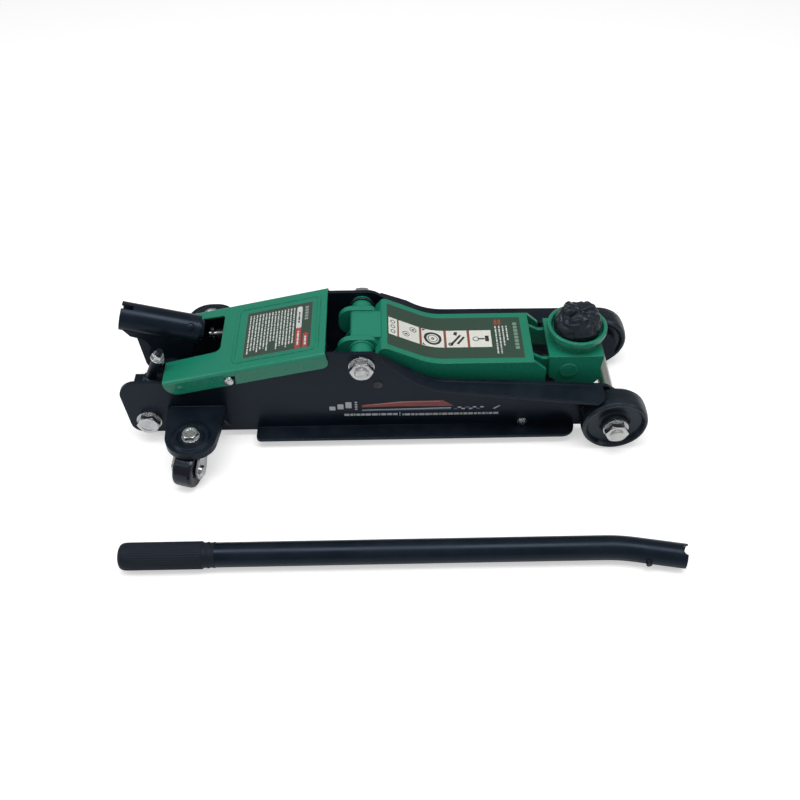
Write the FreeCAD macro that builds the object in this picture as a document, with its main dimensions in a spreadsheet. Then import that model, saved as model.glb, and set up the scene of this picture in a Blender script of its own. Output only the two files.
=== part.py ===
import FreeCAD, Part
import math
import os
import re
import Sketcher

# A low two-and-a-half-tonne trolley jack and its loose pumping handle.
# Millimetres. X runs forward to the saddle end, Y across, Z up from the floor.
# The working datum is the lift arm's pivot axis (X 0), halfway between the side plates (Y 0).
# The finished pieces are all moved by origin_x and origin_y, so that the origin ends up under
# the middle of everything that lies on the floor.

SIZES = {
    # overall
    "pivot_z": 105,            # lift arm pivot above the floor
    "plate_out": 49,           # outer face of a side plate from the middle
    "plate_wall": 4,
    "nose_x": 253,             # rear end of the side plates, behind the pivot
    "plate_past_axle": 22,     # how far the side plates run on in front of the axle
    "axle_x": 264,             # front axle
    # side plate outline
    "plate_low": 10,           # floor clearance
    "nose_top": 84,
    "nose_round": 19,
    "crown_rise": 16,          # flat top of the plate above the pivot
    "crown_round": 18,
    "dip_start_x": 12,
    "dip_end_x": 70,
    "dip_end_z": 81.7,
    "dip_round": 70,
    "flange_end_x": 250,
    "flange_end_z": 69.4,
    "top_flange": 25,          # width of the outward top flange at its front end
    "bend_drop": 0.4,          # flange faces lie this far inside the plate's edge
    "low_flange": 18,
    "low_flange_rear_x": 115,
    "low_flange_front_x": 226,
    # cover
    "cover_rear_x": 204.5,
    "cover_front_x": 36,
    "cover_wall": 2,
    "cover_side_gap": 0.5,
    "cover_seat": 1.2,         # air between the plate edges and the cover sheet
    "cover_drop": 19,
    "opening_depth": 59,       # cut-out at the cover's rear edge, measured along the slope
    "opening_near_y": 18,
    "opening_far_y": 37,
    "cover_screw_x": 135,
    "cover_screw_z": 89,
    "tie_x": 170,              # thin cross rod near the front
    "tie_r": 3,
    # fasteners and fits
    "bolt_r": 7,
    "hole_gap": 0.05,
    "run_gap": 0.3,            # air between pieces that move past each other
    "washer_wall": 2.4,
    "washer_r": 13.2,
    "nut_half_span": 10.8,     # half the distance across flats
    "nut_tall": 8,
    "rear_bolt_x": 228,
    "rear_bolt_z": 29,
    # front wheels
    "wheel_r": 35,
    "wheel_wide": 25,
    "wheel_gap": 2,
    # casters
    "caster_x": 175.5,
    "caster_y": 91,
    "caster_plate_z": 48,
    "caster_plate_wall": 3.5,
    "bracket_half": 28.5,
    "bracket_reach": 23,
    "bracket_flare": 9,        # how much the front edge leans back towards its tip
    "caster_r": 19,
    "caster_wide": 22,
    "caster_trail": 18,
    "fork_wall": 2.5,
    "caster_bolt_r": 5,
    # lift arm
    "arm_half": 38,
    "arm_wall": 4,
    "arm_top_z": 95,
    "crest_z": 119.5,
    "arm_front_x": 178,
    "hub_r": 11.5,
    "cheek_in": 19.5,
    "cheek_wall": 6.5,
    "support_x": 216,          # support pin
    "support_z": 74,
    "pin_r": 6,
    "tongue_in": 20,
    "tongue_wall": 4,
    # parallel links
    "link_dx": 16,
    "link_dz": 28,
    "link_in": 13.2,
    "link_wall": 4.5,
    "link_half": 7.5,
    # push lever and ram
    "lever_x": 26,
    "lever_z": 45,             # push pin below the arm pivot
    "lever_in": 8,
    "lever_wall": 4,
    "push_pin_r": 4.5,
    "roller_r": 8,
    "ram_z": 58,
    "rod_r": 10.5,
    "rod_front_x": 47,
    "bore_r": 15,
    "cylinder_wall": 4,
    "reservoir_r": 28,
    "reservoir_wall": 3,
    "reservoir_rear_x": 124,
    "reservoir_front_x": 56,
    "gland_long": 8,
    "spring_y": 34,            # return springs beside the reservoir
    "spring_z": 53,
    # power unit
    "unit_half": 29,
    "base_top_z": 26,
    "block_top_z": 58,
    "block_rear_x": 160,
    "head_wall": 13,
    # handle socket
    "socket_y": 10,
    "socket_pivot_x": 203,
    "socket_pivot_z": 66,
    "socket_r": 15,
    "socket_bore_r": 12.9,
    "socket_tilt": 15.5,
    "socket_front_x": 170,
    "socket_front_z": 103.5,
    "socket_long": 81,
    "ledge_at": 15,
    "web_half": 13.5,
    "web_slot_half": 9,
    "cam_reach": 22,           # cam roller centre from the socket pivot
    "cam_swing": 22.5,         # its angle ahead of straight down, at rest
    "cam_r": 6,
    "ear_wall": 6,
    "plunger_r": 5,
    "plunger_head_r": 8,
    # release gear
    "valve_y": 33,
    "valve_z": 76,
    "key_r": 11.5,
    # saddle
    "saddle_x": 225,
    "cup_r": 31,
    "cup_top_z": 112,
    "cheek_out": 30,
    "saddle_r": 25,
    "saddle_top_z": 135,
    "stem_r": 9,
    # loose handle
    "bar_r": 12,
    "bar_wall": 2,
    "bar_y": 211,
    "bar_rear_x": 230.6,
    "bar_bend_x": 232.5,         # where the bend starts
    "bar_bend_r": 160,
    "bar_front_x": 309,
    "bar_bend": 10.5,
    "grip_r": 13.5,
    "grip_long": 92,
    # position of the datum in the finished frame, set below from the model itself
    "origin_x": 0,
    "origin_y": 0,
}

doc = FreeCAD.newDocument("TrolleyJack")
sheet = doc.addObject("Spreadsheet::Sheet", "Sizes")
for row, (alias, value) in enumerate(SIZES.items(), start=1):
    sheet.set(f"A{row}", alias)
    sheet.set(f"B{row}", str(value))
    sheet.setAlias(f"B{row}", alias)
doc.recompute()

ORIGIN = FreeCAD.Vector(0, 0, 0)
# rotations that lay a piece's own Z axis along the named direction
TURNS = {
    "z": FreeCAD.Rotation(),
    "-z": FreeCAD.Rotation(FreeCAD.Vector(1, 0, 0), 180),
    "x": FreeCAD.Rotation(FreeCAD.Vector(0, 1, 0), 90),
    "-x": FreeCAD.Rotation(FreeCAD.Vector(0, 1, 0), -90),
    "y": FreeCAD.Rotation(FreeCAD.Vector(1, 0, 0), -90),
    "-y": FreeCAD.Rotation(FreeCAD.Vector(1, 0, 0), 90),
}
SIDES = {"near": -1, "far": 1}
places = {}        # where each object's own base point is, as three expressions
sub_parts = []


def bound(text):
    """An expression on the sheet: every known size name in the text gets the sheet's name."""
    def full(match):
        word = match.group(0)
        return "Sizes." + word if word in SIZES else word
    return re.sub(r"[a-z][a-z0-9_]*", full, str(text))


def place(piece, at=(0, 0, 0), turn="z"):
    rotation = TURNS[turn] if isinstance(turn, str) else turn
    piece.Placement = FreeCAD.Placement(ORIGIN, rotation)
    places[piece.Name] = at
    for letter, text in zip("xyz", at):
        piece.setExpression("Placement.Base." + letter, bound(text))
    return piece


def cylinder(radius, length, at, turn="z"):
    piece = doc.addObject("Part::Cylinder", "Cylinder")
    piece.setExpression("Radius", bound(radius))
    piece.setExpression("Height", bound(length))
    return place(piece, at, turn)


def torus(ring_radius, wire_radius, at, turn="z"):
    piece = doc.addObject("Part::Torus", "Torus")
    piece.setExpression("Radius1", bound(ring_radius))
    piece.setExpression("Radius2", bound(wire_radius))
    return place(piece, at, turn)


def box(low, high):
    """A block from one corner to the other."""
    piece = doc.addObject("Part::Box", "Box")
    for size, start, end in zip(("Length", "Width", "Height"), low, high):
        piece.setExpression(size, bound(f"({end}) - ({start})"))
    return place(piece, low)


def hexagon(half_span, length, at, turn="z"):
    """A six-sided prism whose flats are 2 x half_span apart."""
    piece = doc.addObject("Part::Prism", "Hexagon")
    piece.Polygon = 6
    piece.setExpression("Circumradius", bound(f"({half_span}) / cos(30)"))
    piece.setExpression("Height", bound(length))
    return place(piece, at, turn)


def fuse(*pieces):
    piece = doc.addObject("Part::MultiFuse", "Fuse")
    piece.Shapes = list(pieces)
    return piece


def compound(*pieces):
    """Separate solids that share one node."""
    piece = doc.addObject("Part::Compound", "Group")
    piece.Links = list(pieces)
    return piece


def cut(base, *tools):
    piece = doc.addObject("Part::Cut", "Cut")
    piece.Base = base
    piece.Tool = tools[0] if len(tools) == 1 else fuse(*tools)
    return piece


def common(first, second):
    piece = doc.addObject("Part::Common", "Common")
    piece.Base = first
    piece.Tool = second
    return piece


def outline_sketch(body, role, outline):
    """A closed sketch of straight runs whose corners sit where the expressions say."""
    sketch = body.newObject("Sketcher::SketchObject", "Outline")
    plane = [item for item in body.Origin.OriginFeatures if item.Role == role][0]
    sketch.AttachmentSupport = [(plane, "")]
    sketch.MapMode = "FlatFace"
    count = len(outline)
    rough = []
    for index in range(count):
        turn = 2 * math.pi * index / count
        rough.append(FreeCAD.Vector(50 * math.cos(turn), 50 * math.sin(turn), 0))
    for index in range(count):
        sketch.addGeometry(Part.LineSegment(rough[index], rough[(index + 1) % count]), False)
    for index in range(count):
        sketch.addConstraint(Sketcher.Constraint("Coincident", index, 2, (index + 1) % count, 1))
    for index, corner in enumerate(outline):
        for kind, text in zip(("DistanceX", "DistanceY"), corner[:2]):
            number = sketch.addConstraint(Sketcher.Constraint(kind, -1, 1, index, 1, 10.0))
            sketch.setExpression(f"Constraints[{number}]", bound(text))
    doc.recompute()
    return sketch


def round_edges(body, base, edges, radius):
    feature = body.newObject("PartDesign::Fillet", "Round")
    feature.Base = (base, edges)
    feature.setExpression("Radius", bound(radius))
    doc.recompute()
    return feature


def round_corners(body, feature, sketch, outline):
    """Rounds the corners that give a radius, one fillet for each different radius."""
    corners = {}
    for index, corner in enumerate(outline):
        if len(corner) > 2:
            point = sketch.Geometry[index].StartPoint
            corners.setdefault(str(corner[2]), []).append(point)
    frame = sketch.Placement
    direction = frame.Rotation.multVec(FreeCAD.Vector(0, 0, 1))
    for radius, points in corners.items():
        names = []
        for number, edge in enumerate(feature.Shape.Edges, start=1):
            ends = [vertex.Point for vertex in edge.Vertexes]
            if len(ends) != 2:
                continue
            run = ends[1] - ends[0]
            if run.cross(direction).Length > 1e-6 * run.Length:
                continue
            for point in points:
                offset = ends[0] - frame.multVec(point)
                if offset.cross(direction).Length < 1e-4:
                    names.append(f"Edge{number}")
                    break
        feature = round_edges(body, feature, names, radius)
    return feature


ROLES = {"XY": "XY_Plane", "XZ": "XZ_Plane", "YZ": "YZ_Plane"}


def pad(plane, outline, low, high):
    """An outline drawn on a plane and padded across it, from low to high."""
    body = doc.addObject("PartDesign::Body", "Body")
    sketch = outline_sketch(body, ROLES[plane], outline)
    feature = body.newObject("PartDesign::Pad", "Pad")
    feature.Profile = sketch
    feature.setExpression("Length", bound(f"({high}) - ({low})"))
    doc.recompute()
    round_corners(body, feature, sketch, outline)
    # a pad on XZ grows towards -Y, the other two towards + their normal
    starts = {"XY": (0, 0, low), "XZ": (0, high, 0), "YZ": (low, 0, 0)}
    return place(body, starts[plane])


def pad_pair(plane, outline, inner, outer):
    """The same padded outline on both sides of the middle plane."""
    near = pad(plane, outline, f"-({outer})", f"-({inner})")
    far = pad(plane, outline, inner, outer)
    return fuse(near, far)


def turned(profile, at, turn="z"):
    """A lathe-turned piece: (radius, height) corners turned about its own Z axis."""
    body = doc.addObject("PartDesign::Body", "Body")
    sketch = outline_sketch(body, "XZ_Plane", profile)
    feature = body.newObject("PartDesign::Revolution", "Turned")
    feature.Profile = sketch
    feature.ReferenceAxis = (sketch, ["V_Axis"])
    feature.Angle = 360
    doc.recompute()
    return place(body, at, turn)


def both_sides(make):
    """Two copies of a piece, near and far."""
    return compound(*[make(side) for side in SIDES.values()])


def outward(side):
    return "y" if side > 0 else "-y"


def sub_part(name, piece):
    """Names a finished piece and moves it into the finished frame."""
    piece.Label = name
    at = places.get(piece.Name, (0, 0, 0))
    piece.setExpression("Placement.Base.x", bound(f"({at[0]}) + origin_x"))
    piece.setExpression("Placement.Base.y", bound(f"({at[1]}) + origin_y"))
    sub_parts.append(piece)
    return piece


def tube(outer, inner, length, at, turn="z"):
    """A plain tube; its bore runs right through."""
    profile = [(inner, 0), (outer, 0), (outer, length), (inner, length)]
    return turned(profile, at, turn)


def washer(bore, radius, wall, at, turn):
    profile = [(bore, 0), (radius, 0), (radius, wall), (bore, wall)]
    return turned(profile, at, turn)


def nut(bore, half_span, tall, at, turn):
    """A hexagon nut with chamfered corners and a plain bore."""
    blank = hexagon(half_span, tall, at, turn)
    crown = turned([(0, 0), (f"({half_span}) * 1.05", 0), (f"({half_span}) * 1.16", "1"),
                    (f"({half_span}) * 1.16", f"({tall}) - 1.2"),
                    (f"({half_span}) * 0.98", tall), (0, tall)], at, turn)
    hole = cylinder(bore, tall, at, turn)
    return cut(common(blank, crown), hole)


# ---------------------------------------------------------------- side plates

CROWN_Z = "(pivot_z + crown_rise)"
COVER_UNDER = "(cover_wall + cover_seat)"
COVER_REAR_Z = "(nose_top + 1.5)"
COVER_FRONT_Z = f"({CROWN_Z} + {COVER_UNDER})"
TIE_Z = "(plate_low + plate_wall + 5.5)"
PLATE_IN = "(plate_out - plate_wall)"
DIP_SLOPE = f"(({CROWN_Z} - dip_end_z) / (dip_end_x - dip_start_x))"
LINK_ROOT = ("link_dx", "pivot_z - link_dz")


def side_plate(side):
    outline = [
        ("-nose_x", "nose_top", "nose_round"),
        ("-cover_rear_x - 6", "nose_top"),
        ("-cover_rear_x - 1", f"{COVER_REAR_Z} - {COVER_UNDER}"),
        ("-cover_front_x", CROWN_Z),
        ("dip_start_x", CROWN_Z, "crown_round"),
        ("dip_end_x", "dip_end_z", "dip_round"),
        ("flange_end_x + 4", "flange_end_z", 14),
        ("axle_x + plate_past_axle", "flange_end_z - 24", 16),
        ("axle_x + plate_past_axle", "plate_low", 15),
        ("-nose_x + 5", "plate_low", 13),
    ]
    if side < 0:
        low, high = "-plate_out", f"-{PLATE_IN}"
    else:
        low, high = PLATE_IN, "plate_out"
    web = pad("XZ", outline, low, high)
    # the top flange follows the dipping edge and widens towards the front
    # its upper face lies a little under the edge, as on a bend
    strip_start = ("dip_start_x + 8", f"{CROWN_Z} - 8 * {DIP_SLOPE} - bend_drop")
    strip = [
        strip_start,
        ("dip_end_x", "dip_end_z - bend_drop", "dip_round"),
        ("flange_end_x", "flange_end_z - bend_drop"),
        ("flange_end_x", "flange_end_z - plate_wall"),
        ("dip_end_x", "dip_end_z - plate_wall", "dip_round"),
        (strip_start[0], f"{strip_start[1]} - plate_wall + bend_drop"),
    ]
    flange_root = f"{side} * (plate_out - 1)"
    plan = [
        ("dip_start_x", flange_root),
        ("dip_start_x", f"{side} * plate_out"),
        ("dip_start_x + 36", f"{side} * (plate_out + top_flange * 0.44)"),
        ("flange_end_x", f"{side} * (plate_out + top_flange)", 10),
        ("flange_end_x", flange_root),
    ]
    reach = "(plate_out + top_flange + 5)"
    span = (f"-{reach}", f"-{PLATE_IN}") if side < 0 else (PLATE_IN, reach)
    top_flange = common(pad("XZ", strip, *span), pad("XY", plan, 0, "pivot_z + 60"))
    low_plan = [
        ("-low_flange_rear_x", flange_root),
        ("-low_flange_rear_x", f"{side} * (plate_out + low_flange)", 5),
        ("low_flange_front_x", f"{side} * (plate_out + low_flange)", 14),
        ("low_flange_front_x", flange_root),
    ]
    low_flange = pad("XY", low_plan, "plate_low + bend_drop", "plate_low + plate_wall")
    across = "plate_wall + 2"
    start = f"{side} * ({PLATE_IN} - 1)"
    hole = "bolt_r + hole_gap"
    holes = [
        cylinder(hole, across, (0, start, "pivot_z"), outward(side)),
        cylinder(hole, across, ("axle_x", start, "wheel_r"), outward(side)),
        cylinder(hole, across, ("-rear_bolt_x", start, "rear_bolt_z"), outward(side)),
        cylinder("pin_r + hole_gap - 1", across, (LINK_ROOT[0], start, LINK_ROOT[1]), outward(side)),
        cylinder("tie_r + hole_gap", across, ("tie_x", start, TIE_Z), outward(side)),
        cylinder("2.5 + hole_gap", across, ("-cover_screw_x", start, "cover_screw_z"), outward(side)),
    ]
    wheel_space = cylinder("wheel_r + 1.5", 80, ("axle_x", f"{side} * plate_out", "wheel_r"), outward(side))
    return cut(fuse(web, cut(fuse(top_flange, low_flange), wheel_space)), *holes)


# ---------------------------------------------------------------- cover

COVER_RUN = "(cover_rear_x - cover_front_x)"
COVER_LIFT = f"({COVER_FRONT_Z} - {COVER_REAR_Z})"
COVER_LONG = f"sqrt({COVER_RUN}^2 + {COVER_LIFT}^2)"
COVER_HALF = "(plate_out + cover_side_gap + cover_wall)"


def soften(body, radius, chosen):
    """Rounds those edges of a body that the test picks out."""
    tip = body.Tip
    names = [f"Edge{number}" for number, edge in enumerate(tip.Shape.Edges, start=1) if chosen(edge)]
    round_edges(body, tip, names, radius)


def cover():
    """Pressed sheet cover, drawn flat with its rear edge at X 0 and then tilted."""
    side_outline = [(0, 0), (COVER_LONG, 0), (COVER_LONG, "-cover_drop", 8), (0, "-cover_drop", 13)]
    shell = pad("XZ", side_outline, f"-{COVER_HALF}", COVER_HALF)
    soften(shell, 3.5, lambda edge: abs(edge.tangentAt(edge.FirstParameter).x) > 0.999
           and min(vertex.Point.z for vertex in edge.Vertexes) > -0.001)
    hollow = box((-5, f"cover_wall - {COVER_HALF}", "-cover_drop - 5"),
                 (f"{COVER_LONG} + 5", f"{COVER_HALF} - cover_wall", "-cover_wall"))
    opening = pad("XY", [(-5, "-opening_near_y - 3"), ("opening_depth", "-opening_near_y", 7),
                         ("opening_depth", "opening_far_y", 4), (-5, "opening_far_y + 3")], -8, 8)
    seat = "((cover_rear_x - cover_screw_x) * 1.026)"
    notch = pad("XZ", [(f"{seat} - 8", -8), (f"{seat} + 5", -7), (f"{seat} + 1", "-cover_drop - 3"),
                       (f"{seat} - 2", "-cover_drop - 3")], f"-{COVER_HALF} - 2", f"{COVER_HALF} + 2")
    panel_low, panel_high = f"{COVER_LONG} - 99", f"{COVER_LONG} - 7"
    panel_half = "(plate_out - 7.5)"
    ridge = cut(
        pad("XY", [(panel_low, f"-{panel_half}", 6), (panel_high, f"-{panel_half}", 6),
                   (panel_high, panel_half, 6), (panel_low, panel_half, 6)], -1, 0.8),
        pad("XY", [(f"{panel_low} + 3", f"-{panel_half} + 3", 4), (f"{panel_high} - 3", f"-{panel_half} + 3", 4),
                   (f"{panel_high} - 3", f"{panel_half} - 3", 4), (f"{panel_low} + 3", f"{panel_half} - 3", 4)],
            -2, 2))
    sheet_part = cut(fuse(shell, ridge), hollow, opening, notch)
    place(sheet_part, ("-cover_rear_x", 0, COVER_REAR_Z), FreeCAD.Rotation(FreeCAD.Vector(0, -1, 0), 10))
    sheet_part.setExpression("Placement.Rotation.Angle", bound(f"atan({COVER_LIFT} / {COVER_RUN})"))
    return cut(sheet_part, cylinder("2.5 + hole_gap", 140, ("-cover_screw_x", -70, "cover_screw_z"), "y"))


# ---------------------------------------------------------------- fasteners of the frame

def side_washers(x, z, inner, radius="washer_r"):
    """One washer against something, on both sides."""
    def make(side):
        return washer("bolt_r + hole_gap", radius, "washer_wall", (x, f"{side} * ({inner})", z), outward(side))
    return both_sides(make)


def side_nuts(x, z, inner):
    def make(side):
        return nut("bolt_r", "nut_half_span", "nut_tall", (x, f"{side} * ({inner})", z), outward(side))
    return both_sides(make)


def through_bolt(x, z, half):
    """A stud that runs from side to side, with chamfered ends."""
    profile = [(0, 0), ("bolt_r - 1", 0), ("bolt_r", 1), ("bolt_r", f"2 * ({half}) - 1"),
               ("bolt_r - 1", f"2 * ({half})"), (0, f"2 * ({half})")]
    return turned(profile, (x, f"-({half})", z), "y")


def frame_tie():
    rod = cylinder("tie_r", "2 * (plate_out + 6)", ("tie_x", "-plate_out - 6", TIE_Z), "y")
    ends = [hexagon(5, 3.5, ("tie_x", f"{side} * plate_out", TIE_Z), outward(side)) for side in SIDES.values()]
    return fuse(rod, *ends)


def cover_screws():
    def make(side):
        start = f"{side} * ({PLATE_IN} - 2)"
        seat = f"({COVER_HALF} + 2 - {PLATE_IN})"
        profile = [(0, 0), (2.5, 0), (2.5, seat), (5, seat),
                   (4.4, f"{seat} + 2.4"), (2.6, f"{seat} + 3.2"), (0, f"{seat} + 3.2")]
        return turned(profile, ("-cover_screw_x", start, "cover_screw_z"), outward(side))
    return both_sides(make)


def rear_bolts():
    """Hex bolts that hold the power unit; their shanks run into its foot."""
    def make(side):
        shank = cylinder("bolt_r", "plate_wall + washer_wall + 11",
                         ("-rear_bolt_x", f"{side} * ({PLATE_IN} - 11)", "rear_bolt_z"), outward(side))
        seat = f"{side} * (plate_out + washer_wall)"
        head = hexagon("nut_half_span", 7, ("-rear_bolt_x", seat, "rear_bolt_z"), outward(side))
        crown = turned([(0, 0), ("nut_half_span * 1.16", 0), ("nut_half_span * 1.16", 5.8),
                        ("nut_half_span * 0.97", 7), ("nut_half_span * 0.7", 7), ("nut_half_span * 0.62", 6.4),
                        (0, 6.4)], ("-rear_bolt_x", seat, "rear_bolt_z"), outward(side))
        return fuse(shank, common(head, crown))
    return both_sides(make)


HUB_FACE = "(plate_out + wheel_gap + wheel_wide)"
WHEEL_BOLT_HALF = f"{HUB_FACE} + run_gap + washer_wall + nut_tall + 2.5"


def axle_washers():
    """Outer washers, and the spacers between each side plate and its wheel."""
    def outer(side):
        return washer("bolt_r + hole_gap", "washer_r", "washer_wall",
                      ("axle_x", f"{side} * ({HUB_FACE} + run_gap)", "wheel_r"), outward(side))

    def inner(side):
        return washer("bolt_r + hole_gap", "washer_r - 2", "wheel_gap - run_gap",
                      ("axle_x", f"{side} * plate_out", "wheel_r"), outward(side))
    return compound(*[outer(side) for side in SIDES.values()], *[inner(side) for side in SIDES.values()])


# ---------------------------------------------------------------- caster brackets and bolts

CASTER_TOP = "caster_plate_z"
FORK_TOP = "(caster_plate_z - caster_plate_wall - 0.8)"
BRACKET_LIP_Z = "(2 * caster_r + 1.5)"
BRACKET_FRONT = "(bracket_half + 3.5 - caster_x)"


def caster_bracket(side):
    """A dished ear pressed from sheet, with a lip round its outer edge and a gusset at the front."""
    def plan(inset):
        left, right = f"-caster_x - bracket_half - 1 + {inset}", f"{BRACKET_FRONT} - {inset}"
        reach = f"{side} * (caster_y + bracket_reach - {inset})"
        root = f"{side} * plate_out"
        return [(left, root), (f"{left} + 4", reach, f"bracket_half - 3 - {inset}"),
                (f"{right} - bracket_flare", reach, f"bracket_half - 7 - {inset}"), (right, root)]
    body = pad("XY", plan(0), BRACKET_LIP_Z, CASTER_TOP)
    hollow = pad("XY", plan("caster_plate_wall - 0.5"), f"{BRACKET_LIP_Z} - 2", f"{CASTER_TOP} - caster_plate_wall")
    centre = ("-caster_x", f"{side} * caster_y", CASTER_TOP)
    dome = turned([(0, -1), (22, -1), (20, 0.5), (18, 2), (14.5, 2), (12.5, 0), (0, 0)], centre)
    wall = "(caster_plate_wall - 0.5)"
    right = BRACKET_FRONT
    lean = "(15 * bracket_flare / (caster_y + bracket_reach - plate_out))"
    gusset_plan = [(right, f"{side} * plate_out"), (f"{right} - {wall}", f"{side} * plate_out"),
                   (f"{right} - {wall} - {lean}", f"{side} * (plate_out + 15)"),
                   (f"{right} - {lean}", f"{side} * (plate_out + 15)")]
    gusset_side = [("plate_out", f"{CASTER_TOP} - 1"), ("plate_out", f"{CASTER_TOP} - 28"),
                   ("plate_out + 2", f"{CASTER_TOP} - 28"), ("plate_out + 12", f"{BRACKET_LIP_Z}"),
                   ("plate_out + 12", f"{CASTER_TOP} - 1")]
    if side < 0:
        gusset_side = [(f"-({y})", z) for y, z in gusset_side]
    gusset = common(pad("XY", gusset_plan, f"{CASTER_TOP} - 30", CASTER_TOP),
                    pad("YZ", gusset_side, f"{right} - 12", f"{right} + 2"))
    bore = cylinder("caster_bolt_r + hole_gap", 20, (centre[0], centre[1], f"{CASTER_TOP} - 10"))
    return cut(fuse(cut(body, hollow), dome, gusset), bore)


CASTER_WASHER_R = "9.3"
CASTER_NUT_Z = f"({FORK_TOP} - fork_wall - run_gap - 4)"


def caster_bolts():
    def make(side):
        at = ("-caster_x", f"{side} * caster_y", CASTER_NUT_Z)
        shank = cylinder("caster_bolt_r", f"{CASTER_TOP} + 4 - {CASTER_NUT_Z}", at)
        seat = (at[0], at[1], f"{CASTER_TOP} + 1.8")
        head = common(hexagon(7.3, 5.4, seat),
                      turned([(0, 0), (8.5, 0), (8.5, 4.6), (7.3, 5.4), (5, 5.4), (4.4, 4.7), (0, 4.7)], seat))
        return fuse(shank, head)
    return both_sides(make)


def caster_nuts():
    """Top washers, the thrust rings above the forks, and the nuts that hold the forks."""
    pieces = []
    for side in SIDES.values():
        x, y = "-caster_x", f"{side} * caster_y"
        pieces.append(washer("caster_bolt_r + hole_gap", CASTER_WASHER_R, 1.8, (x, y, CASTER_TOP), "z"))
        pieces.append(washer("caster_bolt_r + hole_gap", 11, 0.6, (x, y, f"{FORK_TOP} + 0.2"), "z"))
        pieces.append(nut("caster_bolt_r", 6.4, 4, (x, y, CASTER_NUT_Z), "z"))
    return compound(*pieces)


# ---------------------------------------------------------------- power unit

UNIT_FRONT = "(-reservoir_rear_x)"
HEAD_REAR = "(-reservoir_rear_x - head_wall)"
PLUNGER_Z = "(socket_pivot_z - cam_reach * (1 + cos(cam_swing)) / 2)"
CAM_X = "(-socket_pivot_x + cam_reach * sin(cam_swing))"
CAM_Z = "(socket_pivot_z - cam_reach * cos(cam_swing))"
PLUNGER_REAR = f"({CAM_X} + cam_r + 0.4)"
BARREL_REAR = "(-block_rear_x - 8)"


def power_unit_base():
    """One casting: foot, near ledge, two ears for the socket pin, pump block and reservoir head."""
    foot_rear = "(-rear_bolt_x - 16)"
    foot = box((foot_rear, "-unit_half", 12), (HEAD_REAR, "unit_half", "base_top_z"))
    side_in = f"({PLATE_IN} - run_gap)"
    ledge = box((f"{foot_rear} + 4", f"-{side_in}", 12), ("-socket_pivot_x - 4", "-19", 68))
    far_boss = box((f"{foot_rear} + 4", 31, 12), (f"{foot_rear} + 30", side_in, 42))
    bridge = box((f"{foot_rear} + 4", "-30", 12), (f"{foot_rear} + 30", 40, "base_top_z"))
    ear_outline = [("-socket_pivot_x - 11", 14), ("-socket_pivot_x + 11", 14),
                   ("-socket_pivot_x + 11", "socket_pivot_z + 11", 10.5),
                   ("-socket_pivot_x - 11", "socket_pivot_z + 11", 10.5)]
    ear_in = "(web_half + run_gap + 0.4)"
    ears = [pad("XZ", ear_outline, f"socket_y - {ear_in} - ear_wall", f"socket_y - {ear_in}"),
            pad("XZ", ear_outline, f"socket_y + {ear_in}", f"socket_y + {ear_in} + ear_wall")]
    block = pad("XZ", [("-block_rear_x", 12), (f"{HEAD_REAR} + 2", 12), (f"{HEAD_REAR} + 2", "block_top_z"),
                       ("-block_rear_x", "block_top_z", 5)], "-unit_half + 6", "unit_half")
    head_outline = [("-unit_half - 3", 14), ("unit_half + 3", 14), ("unit_half + 3", "ram_z + unit_half", 22),
                    ("-unit_half - 3", "ram_z + unit_half", 22)]
    head = pad("YZ", head_outline, HEAD_REAR, UNIT_FRONT)
    valve_boss = cylinder(8.5, "head_wall + 6", (f"{HEAD_REAR} - 6", "valve_y", "valve_z"), "x")
    spring_pegs = box((f"{UNIT_FRONT} - 6", "-spring_y - 3", "spring_z - 3"),
                      (UNIT_FRONT, "spring_y + 3", "spring_z + 3"))
    pin_hole = cylinder("pin_r + hole_gap", 60, ("-socket_pivot_x", "socket_y - 30", "socket_pivot_z"), "y")
    pump_bore = cylinder("plunger_r + run_gap", 32, (f"{BARREL_REAR} - 2", "socket_y", PLUNGER_Z), "x")
    barrel_seat = cylinder("plunger_head_r", 12, (BARREL_REAR, "socket_y", PLUNGER_Z), "x")
    valve_bore = cylinder("3 + run_gap", 20, (f"{HEAD_REAR} - 8", "valve_y", "valve_z"), "x")
    bolt_bores = [cylinder("bolt_r + hole_gap", 13,
                           ("-rear_bolt_x", f"{side} * ({PLATE_IN} - 12)", "rear_bolt_z"), outward(side))
                  for side in SIDES.values()]
    body = fuse(foot, ledge, far_boss, bridge, *ears, block, head, valve_boss, spring_pegs)
    return cut(body, pin_hole, pump_bore, barrel_seat, valve_bore, *bolt_bores)


def reservoir_tube():
    return tube("reservoir_r", "reservoir_r - reservoir_wall", "reservoir_rear_x - reservoir_front_x",
                (UNIT_FRONT, 0, "ram_z"), "x")


def ram_cylinder():
    return tube("bore_r + cylinder_wall", "bore_r", "reservoir_rear_x - reservoir_front_x",
                (UNIT_FRONT, 0, "ram_z"), "x")


def ram_gland():
    """Screwed end cap that closes the reservoir and guides the rod."""
    bore = "rod_r + hole_gap"
    profile = [(bore, 0), ("reservoir_r", 0), ("reservoir_r", "gland_long - 3"),
               ("reservoir_r - 3", "gland_long"), ("rod_r + 4", "gland_long"),
               ("rod_r + 3", "gland_long - 1.5"), (bore, "gland_long - 1.5")]
    return turned(profile, ("-reservoir_front_x", 0, "ram_z"), "x")


def pump_barrel():
    """Hexagon gland that guides the pump plunger, screwed into the block."""
    at = (BARREL_REAR, "socket_y", PLUNGER_Z)
    body = fuse(hexagon("plunger_head_r + 1.5", 8, at, "x"), cylinder("plunger_head_r", 12, at, "x"))
    return cut(body, cylinder("plunger_r + hole_gap", 14, (f"{BARREL_REAR} - 1", at[1], at[2]), "x"))


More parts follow.
